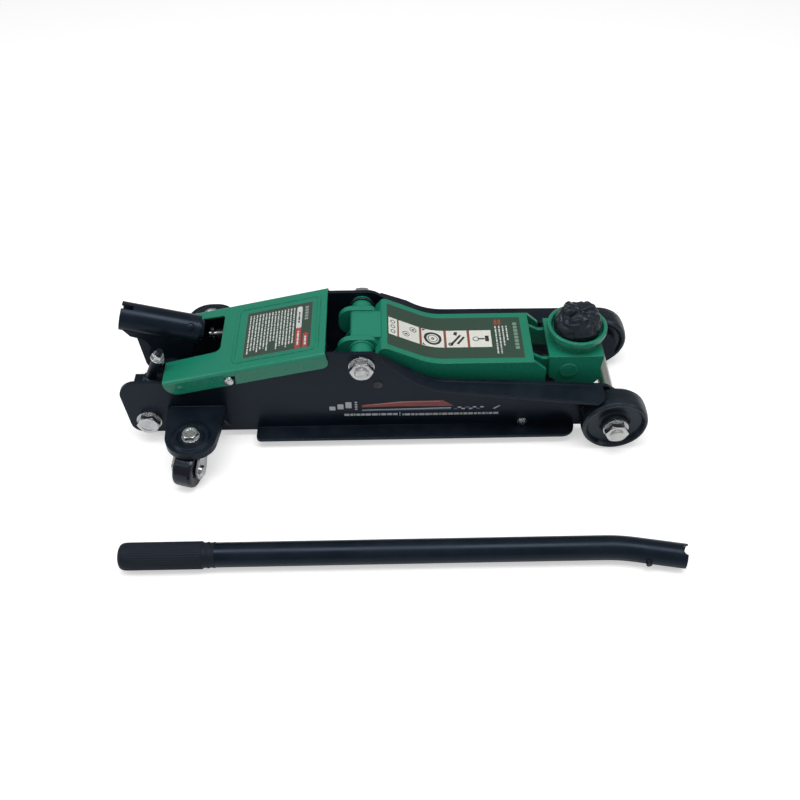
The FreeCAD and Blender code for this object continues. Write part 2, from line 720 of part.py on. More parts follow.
def filler_plug():
    x = "(-reservoir_rear_x + 30)"
    plug = fuse(cylinder(6, 10, (x, 0, "ram_z + reservoir_r - 4")),
                hexagon(5, 4, (x, 0, "ram_z + reservoir_r + 4")))
    return cut(plug, cylinder("reservoir_r", 40, (f"{x} - 20", 0, "ram_z"), "x"))


POST_TURN = FreeCAD.Rotation(FreeCAD.Vector(0, 1, 0), 24)
POST_FOOT = ("-socket_pivot_x - 21", "-31", 68)


def release_post():
    """Leaning valve post on the near ledge, with a collar at its foot."""
    post = turned([(0, -6), (7, -6), (7, 8), (5.2, 9), (5.2, 36), (3.4, 37), (3.4, 49), (0, 49)],
                  POST_FOOT, POST_TURN)
    ledge_top = box((f"{POST_FOOT[0]} - 20", -50, 50), (f"{POST_FOOT[0]} + 20", -10, POST_FOOT[2]))
    return cut(post, ledge_top)


def post_nuts():
    """Washer, spring washer and nut on top of the post."""
    group = compound(washer(3.45, 7, 1.6, (0, 0, 37.1), "z"), nut(3.4, 5.2, 5.2, (0, 0, 38.8), "z"))
    return place(group, POST_FOOT, POST_TURN)


def tie_rod_anchors():
    """Stub pins in the side plates that the rear ends of the parallel links turn on."""
    def make(side):
        return cylinder("pin_r - 1", "plate_out + 0.6 - link_in + 0.5",
                        (LINK_ROOT[0], f"{side} * (link_in - 0.5)", LINK_ROOT[1]), outward(side))
    return both_sides(make)


def socket_pin():
    half = "(web_half + run_gap + 0.4 + ear_wall + 2)"
    return cylinder("pin_r", f"2 * {half}", ("-socket_pivot_x", f"socket_y - {half}", "socket_pivot_z"), "y")


sub_part("side_plate_near", side_plate(-1))
sub_part("side_plate_far", side_plate(1))
sub_part("cover", cover())
sub_part("cover_screws", cover_screws())
sub_part("frame_tie", frame_tie())
sub_part("pivot_bolt", through_bolt(0, "pivot_z", "plate_out + washer_wall + nut_tall + 2.5"))
sub_part("pivot_washers", side_washers(0, "pivot_z", "plate_out"))
sub_part("pivot_nuts", side_nuts(0, "pivot_z", "plate_out + washer_wall"))
sub_part("front_axle", through_bolt("axle_x", "wheel_r", WHEEL_BOLT_HALF))
sub_part("axle_washers", axle_washers())
sub_part("axle_nuts", side_nuts("axle_x", "wheel_r", f"{HUB_FACE} + run_gap + washer_wall"))
sub_part("rear_bolts", rear_bolts())
sub_part("rear_washers", side_washers("-rear_bolt_x", "rear_bolt_z", "plate_out"))
sub_part("caster_bracket_near", caster_bracket(-1))
sub_part("caster_bracket_far", caster_bracket(1))
sub_part("caster_bolts", caster_bolts())
sub_part("caster_nuts", caster_nuts())
sub_part("power_unit_base", power_unit_base())
sub_part("reservoir_tube", reservoir_tube())
sub_part("ram_cylinder", ram_cylinder())
sub_part("ram_gland", ram_gland())
sub_part("pump_barrel", pump_barrel())
sub_part("filler_plug", filler_plug())
sub_part("release_post", release_post())
sub_part("post_nuts", post_nuts())
sub_part("tie_rod_anchors", tie_rod_anchors())
sub_part("socket_pin", socket_pin())


# ---------------------------------------------------------------- lift arm

PIVOT = (0, 0, "pivot_z")


def hub_blank():
    """Hub without its bores: also the space that the arm's sheet leaves for it."""
    hub = cylinder("hub_r", f"2 * ({PLATE_IN} - run_gap)", (0, f"run_gap - {PLATE_IN}", "pivot_z"), "y")
    cheek_outline = [(-25, "pivot_z - 22", 17), (-25, "pivot_z + 14", 15), (12, "pivot_z + 14", 6),
                     (20, "pivot_z"), (10, "pivot_z - 22", 12)]
    cheeks = pad_pair("XZ", cheek_outline, "cheek_in", "cheek_in + cheek_wall")
    tip_x, tip_z = "-lever_x", "pivot_z - lever_z"
    reach = "(push_pin_r + 4.5)"
    lever_outline = [(-9, "pivot_z"), (f"{tip_x} - {reach} + 0.8", f"{tip_z} + 2"),
                     (f"{tip_x} + {reach} - 0.5", f"{tip_z} - 1"), (9, "pivot_z")]
    lever = pad_pair("XZ", lever_outline, "lever_in", "lever_in + lever_wall")
    eyes = [cylinder(reach, "lever_wall", (tip_x, f"{side} * lever_in", tip_z), outward(side))
            for side in SIDES.values()]
    # the block ends under the arm's roof, and its top stands a little above the hub tube
    block = pad("XZ", [(-12, "pivot_z - 12"), (-12, "pivot_z + 11.9", 4), (20, "pivot_z + 11.9"),
                       (26, "pivot_z + 6"), (26, "pivot_z - 6"), (14, "pivot_z - 12")], "-cheek_in", "cheek_in")
    return fuse(hub, cheeks, block, lever, *eyes)


def arm_hub():
    """Hub tube across the jack, its centre block between two cheeks, and the push lever."""
    bore = cylinder("bolt_r + hole_gap", 200, (0, -100, "pivot_z"), "y")
    pin_hole = cylinder("push_pin_r + hole_gap", 60, ("-lever_x", -30, "pivot_z - lever_z"), "y")
    return cut(hub_blank(), bore, pin_hole)


def lift_arm():
    """Folded-sheet arm, welded over the hub at its rear, with two tongues at its front."""
    outline = [(14, "pivot_z + 3"), (22, "crest_z", 6), (72, "arm_top_z", 60), ("arm_front_x", "arm_top_z", 3),
               ("arm_front_x + 13", "arm_top_z - 12", 5), ("arm_front_x + 13", "support_z - 13", 6),
               (72, "support_z - 7", 25), (27, "pivot_z - 18", 8), (14, "pivot_z - 5")]
    shell = pad("XZ", outline, "-arm_half", "arm_half")
    hollow_outline = [(0, "pivot_z - 1"), (14, "pivot_z - 1"), (22, "crest_z - arm_wall", 5),
                      (71, "arm_top_z - arm_wall", 57), ("arm_front_x + 30", "arm_top_z - arm_wall"),
                      ("arm_front_x + 30", 20), (0, 20)]
    hollow = pad("XZ", hollow_outline, "arm_wall - arm_half", "arm_half - arm_wall")
    top_end = box(("arm_front_x - 0.5", "arm_wall - arm_half", "arm_top_z - 30"),
                  ("arm_front_x + 30", "arm_half - arm_wall", "arm_top_z + 5"))
    tongue_top = "support_z + pin_r + 6"
    tongue = [("support_x - 76", "arm_top_z - 1"), ("arm_front_x - 4", "arm_top_z - 1"),
              ("support_x - 28", tongue_top), ("support_x + 12", tongue_top, 11.5),
              ("support_x + 12", "support_z - 12", 11.5), ("support_x - 76", "support_z - 8")]
    tongues = pad_pair("XZ", tongue, "tongue_in", "tongue_in + tongue_wall")
    pin_hole = cylinder("pin_r + hole_gap", 100, ("support_x", -50, "support_z"), "y")
    return cut(fuse(cut(shell, hollow, top_end), tongues), pin_hole, hub_blank())


def push_pin():
    half = "(lever_in + lever_wall + 0.8)"
    return cylinder("push_pin_r", f"2 * {half}", ("-lever_x", f"-{half}", "pivot_z - lever_z"), "y")


def push_roller():
    half = "(lever_in - run_gap)"
    return turned([("push_pin_r + hole_gap", 0), ("roller_r - 1", 0), ("roller_r", 1),
                   ("roller_r", f"2 * {half} - 1"), ("roller_r - 1", f"2 * {half}"),
                   ("push_pin_r + hole_gap", f"2 * {half}")],
                  ("-lever_x", f"-{half}", "pivot_z - lever_z"), "y")


def support_pin():
    return cylinder("pin_r", "2 * (cheek_out + 0.8)", ("support_x", "-cheek_out - 0.8", "support_z"), "y")


# ---------------------------------------------------------------- saddle and its support

LINK_TIP = ("support_x + link_dx", "support_z - link_dz")
CHEEK_IN = "(tongue_in + tongue_wall + run_gap + 0.4)"
CUP_FLOOR = "(cup_top_z - 8)"


def saddle_support():
    """Casting between the arm and the saddle: a cup on top and two cheeks for the pins."""
    block_top = "support_z + 20"
    outline = [("support_x - 22", block_top), ("support_x + 35", block_top), ("support_x + 33.5", "support_z + 2"),
               ("support_x + 37", "support_z - 10"),
               (f"{LINK_TIP[0]} + 8", f"{LINK_TIP[1]} + 2"), (f"{LINK_TIP[0]} - 5.5", f"{LINK_TIP[1]} - 7"),
               ("support_x - 20", "support_z - 8")]
    body = pad("XZ", outline, "-cheek_out", "cheek_out")
    eyes = cylinder(9.5, "2 * cheek_out", (LINK_TIP[0], "-cheek_out", LINK_TIP[1]), "y")
    pocket = pad("XZ", [("support_x - 60", "support_z + pin_r + 8"), ("support_x + 26", "support_z + pin_r + 8", 5),
                        ("support_x + 29", "support_z - 60"), ("support_x - 60", "support_z - 60")],
                 f"-{CHEEK_IN}", CHEEK_IN)
    cup = turned([(0, -14), ("cup_r - 6.5", -14), ("cup_r - 6", -9), ("cup_r - 3.5", -3.5), ("cup_r - 0.8", 1),
                  ("cup_r", 3.5), ("cup_r", 7.2),
                  ("cup_r - 0.8", 8), ("cup_r - 3.2", 8), ("cup_r - 4", 7.2), ("cup_r - 4.6", 1.5),
                  ("cup_r - 6", 0), (0, 0)], ("saddle_x", 0, CUP_FLOOR))
    bosses = [cylinder(9.5, 1.2, ("support_x", f"{side} * (cheek_out - 0.4)", "support_z"), outward(side))
              for side in SIDES.values()]
    stem_bore = cylinder("stem_r + hole_gap", 60, ("saddle_x", 0, "support_z + pin_r + 6"))
    pin_hole = cylinder("pin_r + hole_gap", 100, ("support_x", -50, "support_z"), "y")
    link_hole = cylinder("pin_r - 1 + hole_gap", 100, (LINK_TIP[0], -50, LINK_TIP[1]), "y")
    return cut(fuse(cut(fuse(body, eyes), pocket), cup, *bosses), stem_bore, pin_hole, link_hole)


def tie_pin():
    return cylinder("pin_r - 1", "2 * (cheek_out + 0.8)", (LINK_TIP[0], "-cheek_out - 0.8", LINK_TIP[1]), "y")


def saddle():
    """Saddle casting: a dish with four blunt lugs, on a stem that turns in the cup."""
    floor_z = f"({CUP_FLOOR} + run_gap)"
    base = turned([(0, "-14"), ("stem_r", "-14"), ("stem_r", 0), ("saddle_r - 3", 0), ("saddle_r", 3),
                   ("saddle_r", f"saddle_top_z - {floor_z} - 14"), ("saddle_r - 1.5", f"saddle_top_z - {floor_z} - 11"),
                   ("saddle_r - 7", f"saddle_top_z - {floor_z} - 13"), (0, f"saddle_top_z - {floor_z} - 13")],
                  ("saddle_x", 0, floor_z))
    crown = cut(cylinder("saddle_r - 0.5", 14, ("saddle_x", 0, "saddle_top_z - 14")),
                cylinder("saddle_r - 8", 16, ("saddle_x", 0, "saddle_top_z - 14")),
                box(("saddle_x - 40", -6, "saddle_top_z - 11"), ("saddle_x + 40", 6, "saddle_top_z + 2")),
                box(("saddle_x - 6", -40, "saddle_top_z - 11"), ("saddle_x + 6", 40, "saddle_top_z + 2")))
    return fuse(base, crown)


def saddle_pad():
    """Rubber pad in the dish; its crossed ribs fill the gaps between the lugs."""
    floor_z = f"(saddle_top_z - 13)"
    disc = turned([(0, 0), ("saddle_r - 8.2", 0), ("saddle_r - 8.2", 7), ("saddle_r - 10", 9), (0, 8)],
                  ("saddle_x", 0, floor_z))
    return disc


# ---------------------------------------------------------------- parallel links

def tie_rods():
    def make(side):
        low, high = ("link_in", "link_in + link_wall")
        if side < 0:
            low, high = f"-({high})", f"-({low})"
        bar_outline = [(f"{LINK_ROOT[0]}", f"{LINK_ROOT[1]} + link_half * 0.8"),
                       (f"{LINK_TIP[0]}", f"{LINK_TIP[1]} + link_half * 0.8"),
                       (f"{LINK_TIP[0]}", f"{LINK_TIP[1]} - link_half * 0.8"),
                       (f"{LINK_ROOT[0]}", f"{LINK_ROOT[1]} - link_half * 0.8")]
        bar = pad("XZ", bar_outline, low, high)
        eyes = [cylinder("link_half", "link_wall", (at[0], low, at[1]), "y") for at in (LINK_ROOT, LINK_TIP)]
        holes = [cylinder("pin_r - 1 + hole_gap", "link_wall + 4", (at[0], f"{low} - 2", at[1]), "y")
                 for at in (LINK_ROOT, LINK_TIP)]
        return cut(fuse(bar, *eyes), *holes)
    return both_sides(make)


# ---------------------------------------------------------------- ram

HEAD_FACE = "(-lever_x - roller_r - 0.7)"


def piston_rod():
    rear = "(2 - reservoir_rear_x)"
    return turned([(0, 0), ("bore_r - 1", 0), ("bore_r - hole_gap", 1), ("bore_r - hole_gap", 9),
                   ("bore_r - 1", 10), ("rod_r", 10), ("rod_r", f"-rod_front_x - {rear}"),
                   (0, f"-rod_front_x - {rear}")], (rear, 0, "ram_z"), "x")


def ram_head():
    """Crosshead on the rod's end: a nose that pushes the roller, and a bar for the return springs."""
    nose = pad("XZ", [("-rod_front_x", "ram_z - 8"), (HEAD_FACE, "ram_z - 8", 1.5), (HEAD_FACE, "ram_z + 8", 1.5),
                      ("-rod_front_x", "ram_z + 8")], "1 - lever_in", "lever_in - 1")
    bar = pad("XY", [("-rod_front_x", "-spring_y - 5", 2), ("-rod_front_x + 6", "-spring_y - 5", 2),
                     ("-rod_front_x + 6", "spring_y + 5", 2), ("-rod_front_x", "spring_y + 5", 2)],
              "spring_z - 4", "spring_z + 4")
    return fuse(nose, bar)


def return_springs():
    """The outer and inner envelope of each coil spring."""
    def make(side):
        return tube("4.2", "2.8", "reservoir_rear_x - rod_front_x",
                    (UNIT_FRONT, f"{side} * spring_y", "spring_z"), "x")
    return both_sides(make)


# ---------------------------------------------------------------- handle socket and pump plunger

SOCKET_FRONT = ("-socket_front_x", "socket_y", "socket_front_z")
SOCKET_TURN = FreeCAD.Rotation(FreeCAD.Vector(0, 1, 0), -70)


def along_socket(piece, slide=0):
    """Lays a piece's own Z along the socket, from its front end towards its mouth."""
    at = (f"{SOCKET_FRONT[0]} - ({slide}) * cos(socket_tilt)", "socket_y",
          f"{SOCKET_FRONT[2]} + ({slide}) * sin(socket_tilt)")
    place(piece, at, SOCKET_TURN)
    piece.setExpression("Placement.Rotation.Angle", bound("90 - socket_tilt"))
    piece.Placement = FreeCAD.Placement(piece.Placement.Base, FreeCAD.Rotation(FreeCAD.Vector(0, -1, 0), 70))
    return piece


def handle_socket():
    """Socket tube with a locking slot at its mouth and a ledge that stops the handle, on a forked web."""
    barrel = along_socket(cylinder("socket_r", "socket_long", (0, 0, 0)))
    key_bore = along_socket(cylinder("key_r + run_gap", "ledge_at + 2", (0, 0, 0)), "-1")
    bore = along_socket(cylinder("socket_bore_r", "socket_long - ledge_at + 1", (0, 0, 0)), "ledge_at")
    slot_in = along_socket(box((0, -4.5, "socket_long - 12"), ("socket_r + 3", 1, "socket_long + 3")))
    offset_bar(slot_in, 0, -4.5, "socket_long - 12")
    web_outline = [
        ("-socket_front_x - 76", "socket_front_z + 13"),
        ("-socket_front_x - 70", "socket_front_z + 4"),
        ("-socket_front_x - 57", "socket_front_z - 1", 14),
        ("-socket_pivot_x - 11", "socket_pivot_z + 8", 6),
        ("-socket_pivot_x - 11", "socket_pivot_z - 10", 9),
        (f"{CAM_X} - 9.5", f"{CAM_Z} - 9", 7),
        (f"{CAM_X} + 9", f"{CAM_Z} - 9", 8),
        (f"{CAM_X} + 9", "socket_pivot_z - 4", 5),
        ("-socket_front_x - 8", "socket_front_z - 14"),
        ("-socket_front_x - 4", "socket_front_z - 2"),
    ]
    web = pad("XZ", web_outline, "socket_y - web_half", "socket_y + web_half")
    fork_gap = box(("-socket_pivot_x - 40", "socket_y - web_slot_half", 10),
                   ("-socket_pivot_x + 40", "socket_y + web_slot_half", "socket_pivot_z + 8"))
    pin_hole = cylinder("pin_r + hole_gap", 80, ("-socket_pivot_x", "socket_y - 40", "socket_pivot_z"), "y")
    roller_hole = cylinder("3 + hole_gap", 80, (CAM_X, "socket_y - 40", CAM_Z), "y")
    return cut(fuse(barrel, web), bore, key_bore, slot_in, fork_gap, pin_hole, roller_hole)


def cam_roller():
    half = "(web_slot_half - run_gap)"
    return tube("cam_r", "3 + hole_gap", f"2 * {half}", (CAM_X, f"socket_y - {half}", CAM_Z), "y")


def cam_pin():
    return cylinder(3, "2 * web_half", (CAM_X, "socket_y - web_half", CAM_Z), "y")


def pump_plunger():
    """Plunger with a round head that the cam roller pushes; it slides in the gland."""
    long = f"(-block_rear_x + 18 - {PLUNGER_REAR})"
    return turned([(0, 0), ("plunger_head_r - 1", 0), ("plunger_head_r", 1), ("plunger_head_r", 4),
                   ("plunger_r", 4), ("plunger_r", long), (0, long)], (PLUNGER_REAR, "socket_y", PLUNGER_Z), "x")


def plunger_spring():
    rear = f"({PLUNGER_REAR} + 4)"
    return tube("plunger_head_r - 0.4", "plunger_r + 0.8", f"{BARREL_REAR} - {rear}",
                (rear, "socket_y", PLUNGER_Z), "x")


def release_key():
    """Disc in the socket's front end with a cross bar that the handle's notched end turns."""
    disc = along_socket(turned([(0, 0), ("key_r - 1.5", 0), ("key_r", 1.5), ("key_r", 8), (0, 8)], (0, 0, 0)), "-3")
    bar = box(("2 - key_r", -2.5, 4), ("key_r - 2", 2.5, "ledge_at - 3"))
    lug = box((-3, "1 - key_r", -4), (3, "key_r - 1", 2))
    for piece in (bar, lug):
        along_socket(piece)
    offset_bar(bar, "2 - key_r", "-2.5", 4)
    offset_bar(lug, "-3", "1 - key_r", -4)
    return fuse(disc, bar, lug)


def offset_bar(piece, x, y, z):
    """Moves a box that lies along the socket to its corner in the socket's own frame."""
    # own X points up and forward, own Z points to the mouth
    piece.setExpression("Placement.Base.x", bound(
        f"{SOCKET_FRONT[0]} + ({x}) * sin(socket_tilt) - ({z}) * cos(socket_tilt)"))
    piece.setExpression("Placement.Base.y", bound(f"socket_y + ({y})"))
    piece.setExpression("Placement.Base.z", bound(
        f"{SOCKET_FRONT[2]} + ({x}) * cos(socket_tilt) + ({z}) * sin(socket_tilt)"))


def valve_spindle():
    """Release valve spindle in the reservoir head, with a cross pin at its rear end."""
    rear = f"({HEAD_REAR} - 30)"
    shaft = cylinder(3, f"{UNIT_FRONT} - {rear} - 3", (rear, "valve_y", "valve_z"), "x")
    collar = cylinder(5, 3, (f"{HEAD_REAR} - 10", "valve_y", "valve_z"), "x")
    pin = cylinder(1.8, 16, (f"{rear} + 4", "valve_y", "valve_z - 8"))
    return fuse(shaft, collar, pin)


def valve_spring():
    rear = f"({HEAD_REAR} - 22)"
    return tube(5.4, 4, f"{HEAD_REAR} - 10.2 - {rear}", (rear, "valve_y", "valve_z"), "x")


# ---------------------------------------------------------------- wheels and casters

def front_wheel(side):
    """Solid wheel with a crowned tread and a dished outer face."""
    bore = "bolt_r + hole_gap"
    profile = [(bore, 0), (14, 0), (16, 2.5), ("wheel_r - 8", 2.5), ("wheel_r - 5", 0), ("wheel_r - 2.5", 0),
               ("wheel_r - 0.7", 2.5), ("wheel_r", 8), ("wheel_r", "wheel_wide - 8"),
               ("wheel_r - 0.8", "wheel_wide - 2.5"), ("wheel_r - 2.5", "wheel_wide"),
               ("wheel_r - 4.5", "wheel_wide - 0.3"), ("wheel_r - 7", "wheel_wide - 5.5"),
               ("washer_r + 3.5", "wheel_wide - 6.5"), ("washer_r + 1.5", "wheel_wide - 5"),
               ("washer_r + 0.5", "wheel_wide"), (bore, "wheel_wide")]
    return turned(profile, ("axle_x", f"{side} * (plate_out + wheel_gap)", "wheel_r"), outward(side))


CASTER_TURNS = {-1: -106, 1: 62}      # where each caster trails, in degrees from +X


def caster_turned(piece, side, at=(0, 0, 0)):
    """Places a piece drawn with the caster's trail along +X and its swivel axis at the origin."""
    turn = math.radians(CASTER_TURNS[side])
    c, s = round(math.cos(turn), 6), round(math.sin(turn), 6)
    x = f"-caster_x + ({at[0]}) * {c} - ({at[1]}) * ({s})"
    y = f"{side} * caster_y + ({at[0]}) * ({s}) + ({at[1]}) * {c}"
    return place(piece, (x, y, at[2]), FreeCAD.Rotation(FreeCAD.Vector(0, 0, 1), CASTER_TURNS[side]))


FORK_IN = "(caster_wide / 2 + 1)"


def caster_fork(side):
    outer = f"({FORK_IN} + fork_wall)"
    # inside the bracket's lip the fork turns within this radius
    sweep = "(bracket_reach - caster_plate_wall - 0.7)"
    front = f"sqrt({sweep}^2 - {outer}^2)"
    top = pad("XY", [(-13, f"-{outer}", 11), (front, f"-{outer}"), (front, outer),
                     (-13, outer, 11)], f"{FORK_TOP} - fork_wall", FORK_TOP)
    leg_outline = [(-6, FORK_TOP), (front, FORK_TOP), (front, f"{BRACKET_LIP_Z} - 1.5"),
                   ("caster_trail + 8.5", "caster_r + 7", 6),
                   ("caster_trail + 8.5", "caster_r - 9", 8), ("caster_trail - 8.5", "caster_r - 9", 8),
                   (-6, f"{FORK_TOP} - 9", 3)]
    legs = pad_pair("XZ", leg_outline, FORK_IN, outer)
    bolt_hole = cylinder("caster_bolt_r + hole_gap", 10, (0, 0, f"{FORK_TOP} - 8"))
    axle_hole = cylinder("3 + hole_gap", 60, ("caster_trail", -30, "caster_r"), "y")
    return caster_turned(cut(fuse(top, legs), bolt_hole, axle_hole), side)


def caster_axle(side):
    half = f"({FORK_IN} + fork_wall + 2.6)"
    pin = turned([(0, 0), (5, 0), (6.2, 1), (6.2, 2.6), (3, 2.6), (3, f"2 * {half} - 2.6"),
                  (6.2, f"2 * {half} - 2.6"), (6.2, f"2 * {half} - 1"), (5, f"2 * {half}"), (0, f"2 * {half}")],
                 ("caster_trail", f"-{half}", "caster_r"), "y")
    return caster_turned(compound(pin), side)


def caster_wheel(side):
    bore = "3 + hole_gap"
    wheel = turned([(bore, 0), (8, 0), (8, 0.6), ("caster_r - 4", 0.6), ("caster_r - 2.5", 0.8), ("caster_r - 0.8", 1.6),
                    ("caster_r", 3.6), ("caster_r", "caster_wide - 3.6"), ("caster_r - 0.8", "caster_wide - 1.6"),
                    ("caster_r - 2.5", "caster_wide - 0.8"), ("caster_r - 4", "caster_wide - 0.6"),
                    (8, "caster_wide - 0.6"), (8, "caster_wide"), (bore, "caster_wide")],
                   ("caster_trail", "-caster_wide / 2", "caster_r"), "y")
    return caster_turned(compound(wheel), side)


# ---------------------------------------------------------------- loose pumping handle

BAR_Z = "grip_r"
BEND_END_X = "(bar_bend_x + bar_bend_r * sin(bar_bend))"
BEND_END_Y = "(-bar_y - bar_bend_r * (1 - cos(bar_bend)))"


def bar_elbow(radius):
    """The bend of the handle, as a short piece of a ring."""
    elbow = torus("bar_bend_r", radius, (0, 0, 0))
    elbow.setExpression("Angle3", bound("bar_bend"))
    place(elbow, ("bar_bend_x", "-bar_y - bar_bend_r", BAR_Z), FreeCAD.Rotation(FreeCAD.Vector(0, 0, 1), 80))
    elbow.setExpression("Placement.Rotation.Angle", bound("90 - bar_bend"))
    return elbow


def handle_tube():
    """Steel tube with one gentle bend, a notch across its working end and a locking stud."""
    bore = "(bar_r - bar_wall)"
    rear = tube("bar_r", bore, "bar_bend_x + bar_rear_x", ("-bar_rear_x", "-bar_y", BAR_Z), "x")
    elbow = cut(bar_elbow("bar_r"), bar_elbow(bore))
    front = compound(tube("bar_r", bore, f"(bar_front_x - {BEND_END_X}) / cos(bar_bend)", (0, 0, 0), "x"))
    place(front, (BEND_END_X, BEND_END_Y, BAR_Z), FreeCAD.Rotation(FreeCAD.Vector(0, 0, -1), 5))
    front.setExpression("Placement.Rotation.Angle", bound("bar_bend"))

    def middle_y(x):
        return f"({BEND_END_Y} - ({x} - {BEND_END_X}) * tan(bar_bend))"
    notch = cylinder(6, 40, ("bar_front_x + 1", middle_y("bar_front_x"), f"{BAR_Z} - 20"))
    stud_x = "(bar_front_x - 37)"
    stud = cylinder(2.8, "bar_r + 4", (stud_x, middle_y(stud_x), BAR_Z), "-y")
    stud_root = cylinder("bar_r - 1", 40, (f"{stud_x} - 20", middle_y(stud_x), BAR_Z), "x")
    return fuse(cut(fuse(rear, elbow, front), notch), cut(stud, stud_root))


def handle_grip():
    """Rubber sleeve closed at its rear end, with a stepped collar in front."""
    return turned([(0, 0), ("grip_r - 3", 0), ("grip_r - 0.8", 1.2), ("grip_r", 4), ("grip_r", "grip_long - 10"),
                   ("grip_r - 0.5", "grip_long - 9"), ("grip_r - 0.5", "grip_long"), ("bar_r", "grip_long"),
                   ("bar_r", 3), (0, 3)], ("-bar_rear_x - 3", "-bar_y", BAR_Z), "x")


sub_part("arm_hub", arm_hub())
sub_part("lift_arm", lift_arm())
sub_part("push_pin", push_pin())
sub_part("push_roller", push_roller())
sub_part("support_pin", support_pin())
sub_part("saddle_support", saddle_support())
sub_part("tie_pin", tie_pin())
sub_part("saddle", saddle())
sub_part("saddle_pad", saddle_pad())
sub_part("tie_rods", tie_rods())
sub_part("piston_rod", piston_rod())
sub_part("ram_head", ram_head())
sub_part("return_springs", return_springs())
sub_part("handle_socket", handle_socket())
sub_part("cam_roller", cam_roller())
sub_part("cam_pin", cam_pin())
sub_part("pump_plunger", pump_plunger())
sub_part("plunger_spring", plunger_spring())
sub_part("release_key", release_key())
sub_part("valve_spindle", valve_spindle())
sub_part("valve_spring", valve_spring())
for word, side in SIDES.items():
    sub_part(f"front_wheel_{word}", front_wheel(side))
    sub_part(f"caster_fork_{word}", caster_fork(side))
    sub_part(f"caster_axle_{word}", caster_axle(side))
    sub_part(f"caster_wheel_{word}", caster_wheel(side))
sub_part("handle_tube", handle_tube())
sub_part("handle_grip", handle_grip())


# ---------------------------------------------------------------- origin, checks and files

doc.recompute()
whole = FreeCAD.BoundBox()
for piece in sub_parts:
    whole.add(piece.Shape.BoundBox)
sheet.set("origin_x", str(round(-whole.Center.x, 3)))
sheet.set("origin_y", str(round(-whole.Center.y, 3)))
doc.recompute()

for item in doc.Objects:
    for state in item.State:
        if state in ("Invalid", "Error"):
            raise RuntimeError(f"{item.Name} ({item.Label}) failed: {item.State}")
for piece in sub_parts:
    if piece.Shape.isNull() or not piece.Shape.isValid() or not piece.Shape.Solids:
        raise RuntimeError(f"{piece.Label} has no valid solid")

os.makedirs("parts", exist_ok=True)
for piece in sub_parts:
    piece.Shape.exportStep(f"parts/{piece.Label}.step")
print(len(sub_parts), "sub-parts; origin_x", sheet.get("origin_x"), "origin_y", sheet.get("origin_y"))
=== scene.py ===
import math
import random

import bpy
from bpy.props import FloatProperty, FloatVectorProperty, IntProperty, PointerProperty
from bpy.types import Operator, Panel, PropertyGroup
from mathutils import Matrix, Vector, noise
from mathutils.bvhtree import BVHTree


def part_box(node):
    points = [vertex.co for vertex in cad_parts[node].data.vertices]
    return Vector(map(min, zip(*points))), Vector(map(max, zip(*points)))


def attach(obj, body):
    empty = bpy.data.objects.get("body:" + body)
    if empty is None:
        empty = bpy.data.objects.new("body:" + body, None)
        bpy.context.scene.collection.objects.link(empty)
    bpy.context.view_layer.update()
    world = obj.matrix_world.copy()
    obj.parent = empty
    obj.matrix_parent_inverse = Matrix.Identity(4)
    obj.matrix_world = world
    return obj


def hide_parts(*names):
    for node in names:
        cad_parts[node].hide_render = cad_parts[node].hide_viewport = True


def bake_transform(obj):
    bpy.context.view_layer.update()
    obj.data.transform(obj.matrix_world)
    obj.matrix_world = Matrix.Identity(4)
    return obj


bl_info = {
    "name": "Trolley jack",
    "version": (1, 0, 0),
    "blender": (4, 5, 0),
    "location": "View3D > Sidebar > Trolley jack",
    "description": "Paint, plating, labels, springs, saddle and grip of a low trolley jack",
    "category": "Object",
}

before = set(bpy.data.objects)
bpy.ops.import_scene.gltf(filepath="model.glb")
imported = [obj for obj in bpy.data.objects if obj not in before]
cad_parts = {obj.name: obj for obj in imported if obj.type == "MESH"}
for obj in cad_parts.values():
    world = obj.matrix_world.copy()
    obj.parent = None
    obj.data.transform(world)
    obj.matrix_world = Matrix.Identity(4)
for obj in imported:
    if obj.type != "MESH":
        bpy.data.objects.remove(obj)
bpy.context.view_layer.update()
MM = 0.001


def middle(node):
    low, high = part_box(node)
    return (low + high) / 2


PIVOT = middle("pivot_bolt")     # the arm's pivot, which every place below is measured from


def at(x, y, z):
    """A point from millimetres forward of the arm's pivot, across from the middle, and up from the floor."""
    return Vector((PIVOT.x + x * MM, PIVOT.y + y * MM, z * MM))


# ---------------------------------------------------------------- shader groups

def new_group(name, inputs, outputs):
    """An empty node group with its sockets, and its two end nodes."""
    group = bpy.data.node_groups.new(name, "ShaderNodeTree")
    for label, kind, value in inputs:
        socket = group.interface.new_socket(name=label, in_out="INPUT", socket_type=kind)
        socket.default_value = value
    for label, kind in outputs:
        group.interface.new_socket(name=label, in_out="OUTPUT", socket_type=kind)
    return group, group.nodes.new("NodeGroupInput"), group.nodes.new("NodeGroupOutput")


def put(tree, kind, values=None, settings=None):
    """A node with its sockets and settings filled in; a linked socket is given as an output socket."""
    node = tree.nodes.new(kind)
    for key, value in (settings or {}).items():
        setattr(node, key, value)
    for key, value in (values or {}).items():
        socket = node.inputs[key]
        if isinstance(value, bpy.types.NodeSocket):
            tree.links.new(value, socket)
        else:
            socket.default_value = value
    return node


def maths(tree, operation, *values, clamp=False):
    """The output of a Math node."""
    node = put(tree, "ShaderNodeMath", dict(enumerate(values)), {"operation": operation, "use_clamp": clamp})
    return node.outputs[0]


def mixed(tree, factor, first, second):
    """One colour into another by a factor."""
    node = tree.nodes.new("ShaderNodeMix")
    node.data_type = "RGBA"
    for index, value in ((0, factor), (6, first), (7, second)):
        if isinstance(value, bpy.types.NodeSocket):
            tree.links.new(value, node.inputs[index])
        else:
            node.inputs[index].default_value = value
    return node.outputs[2]


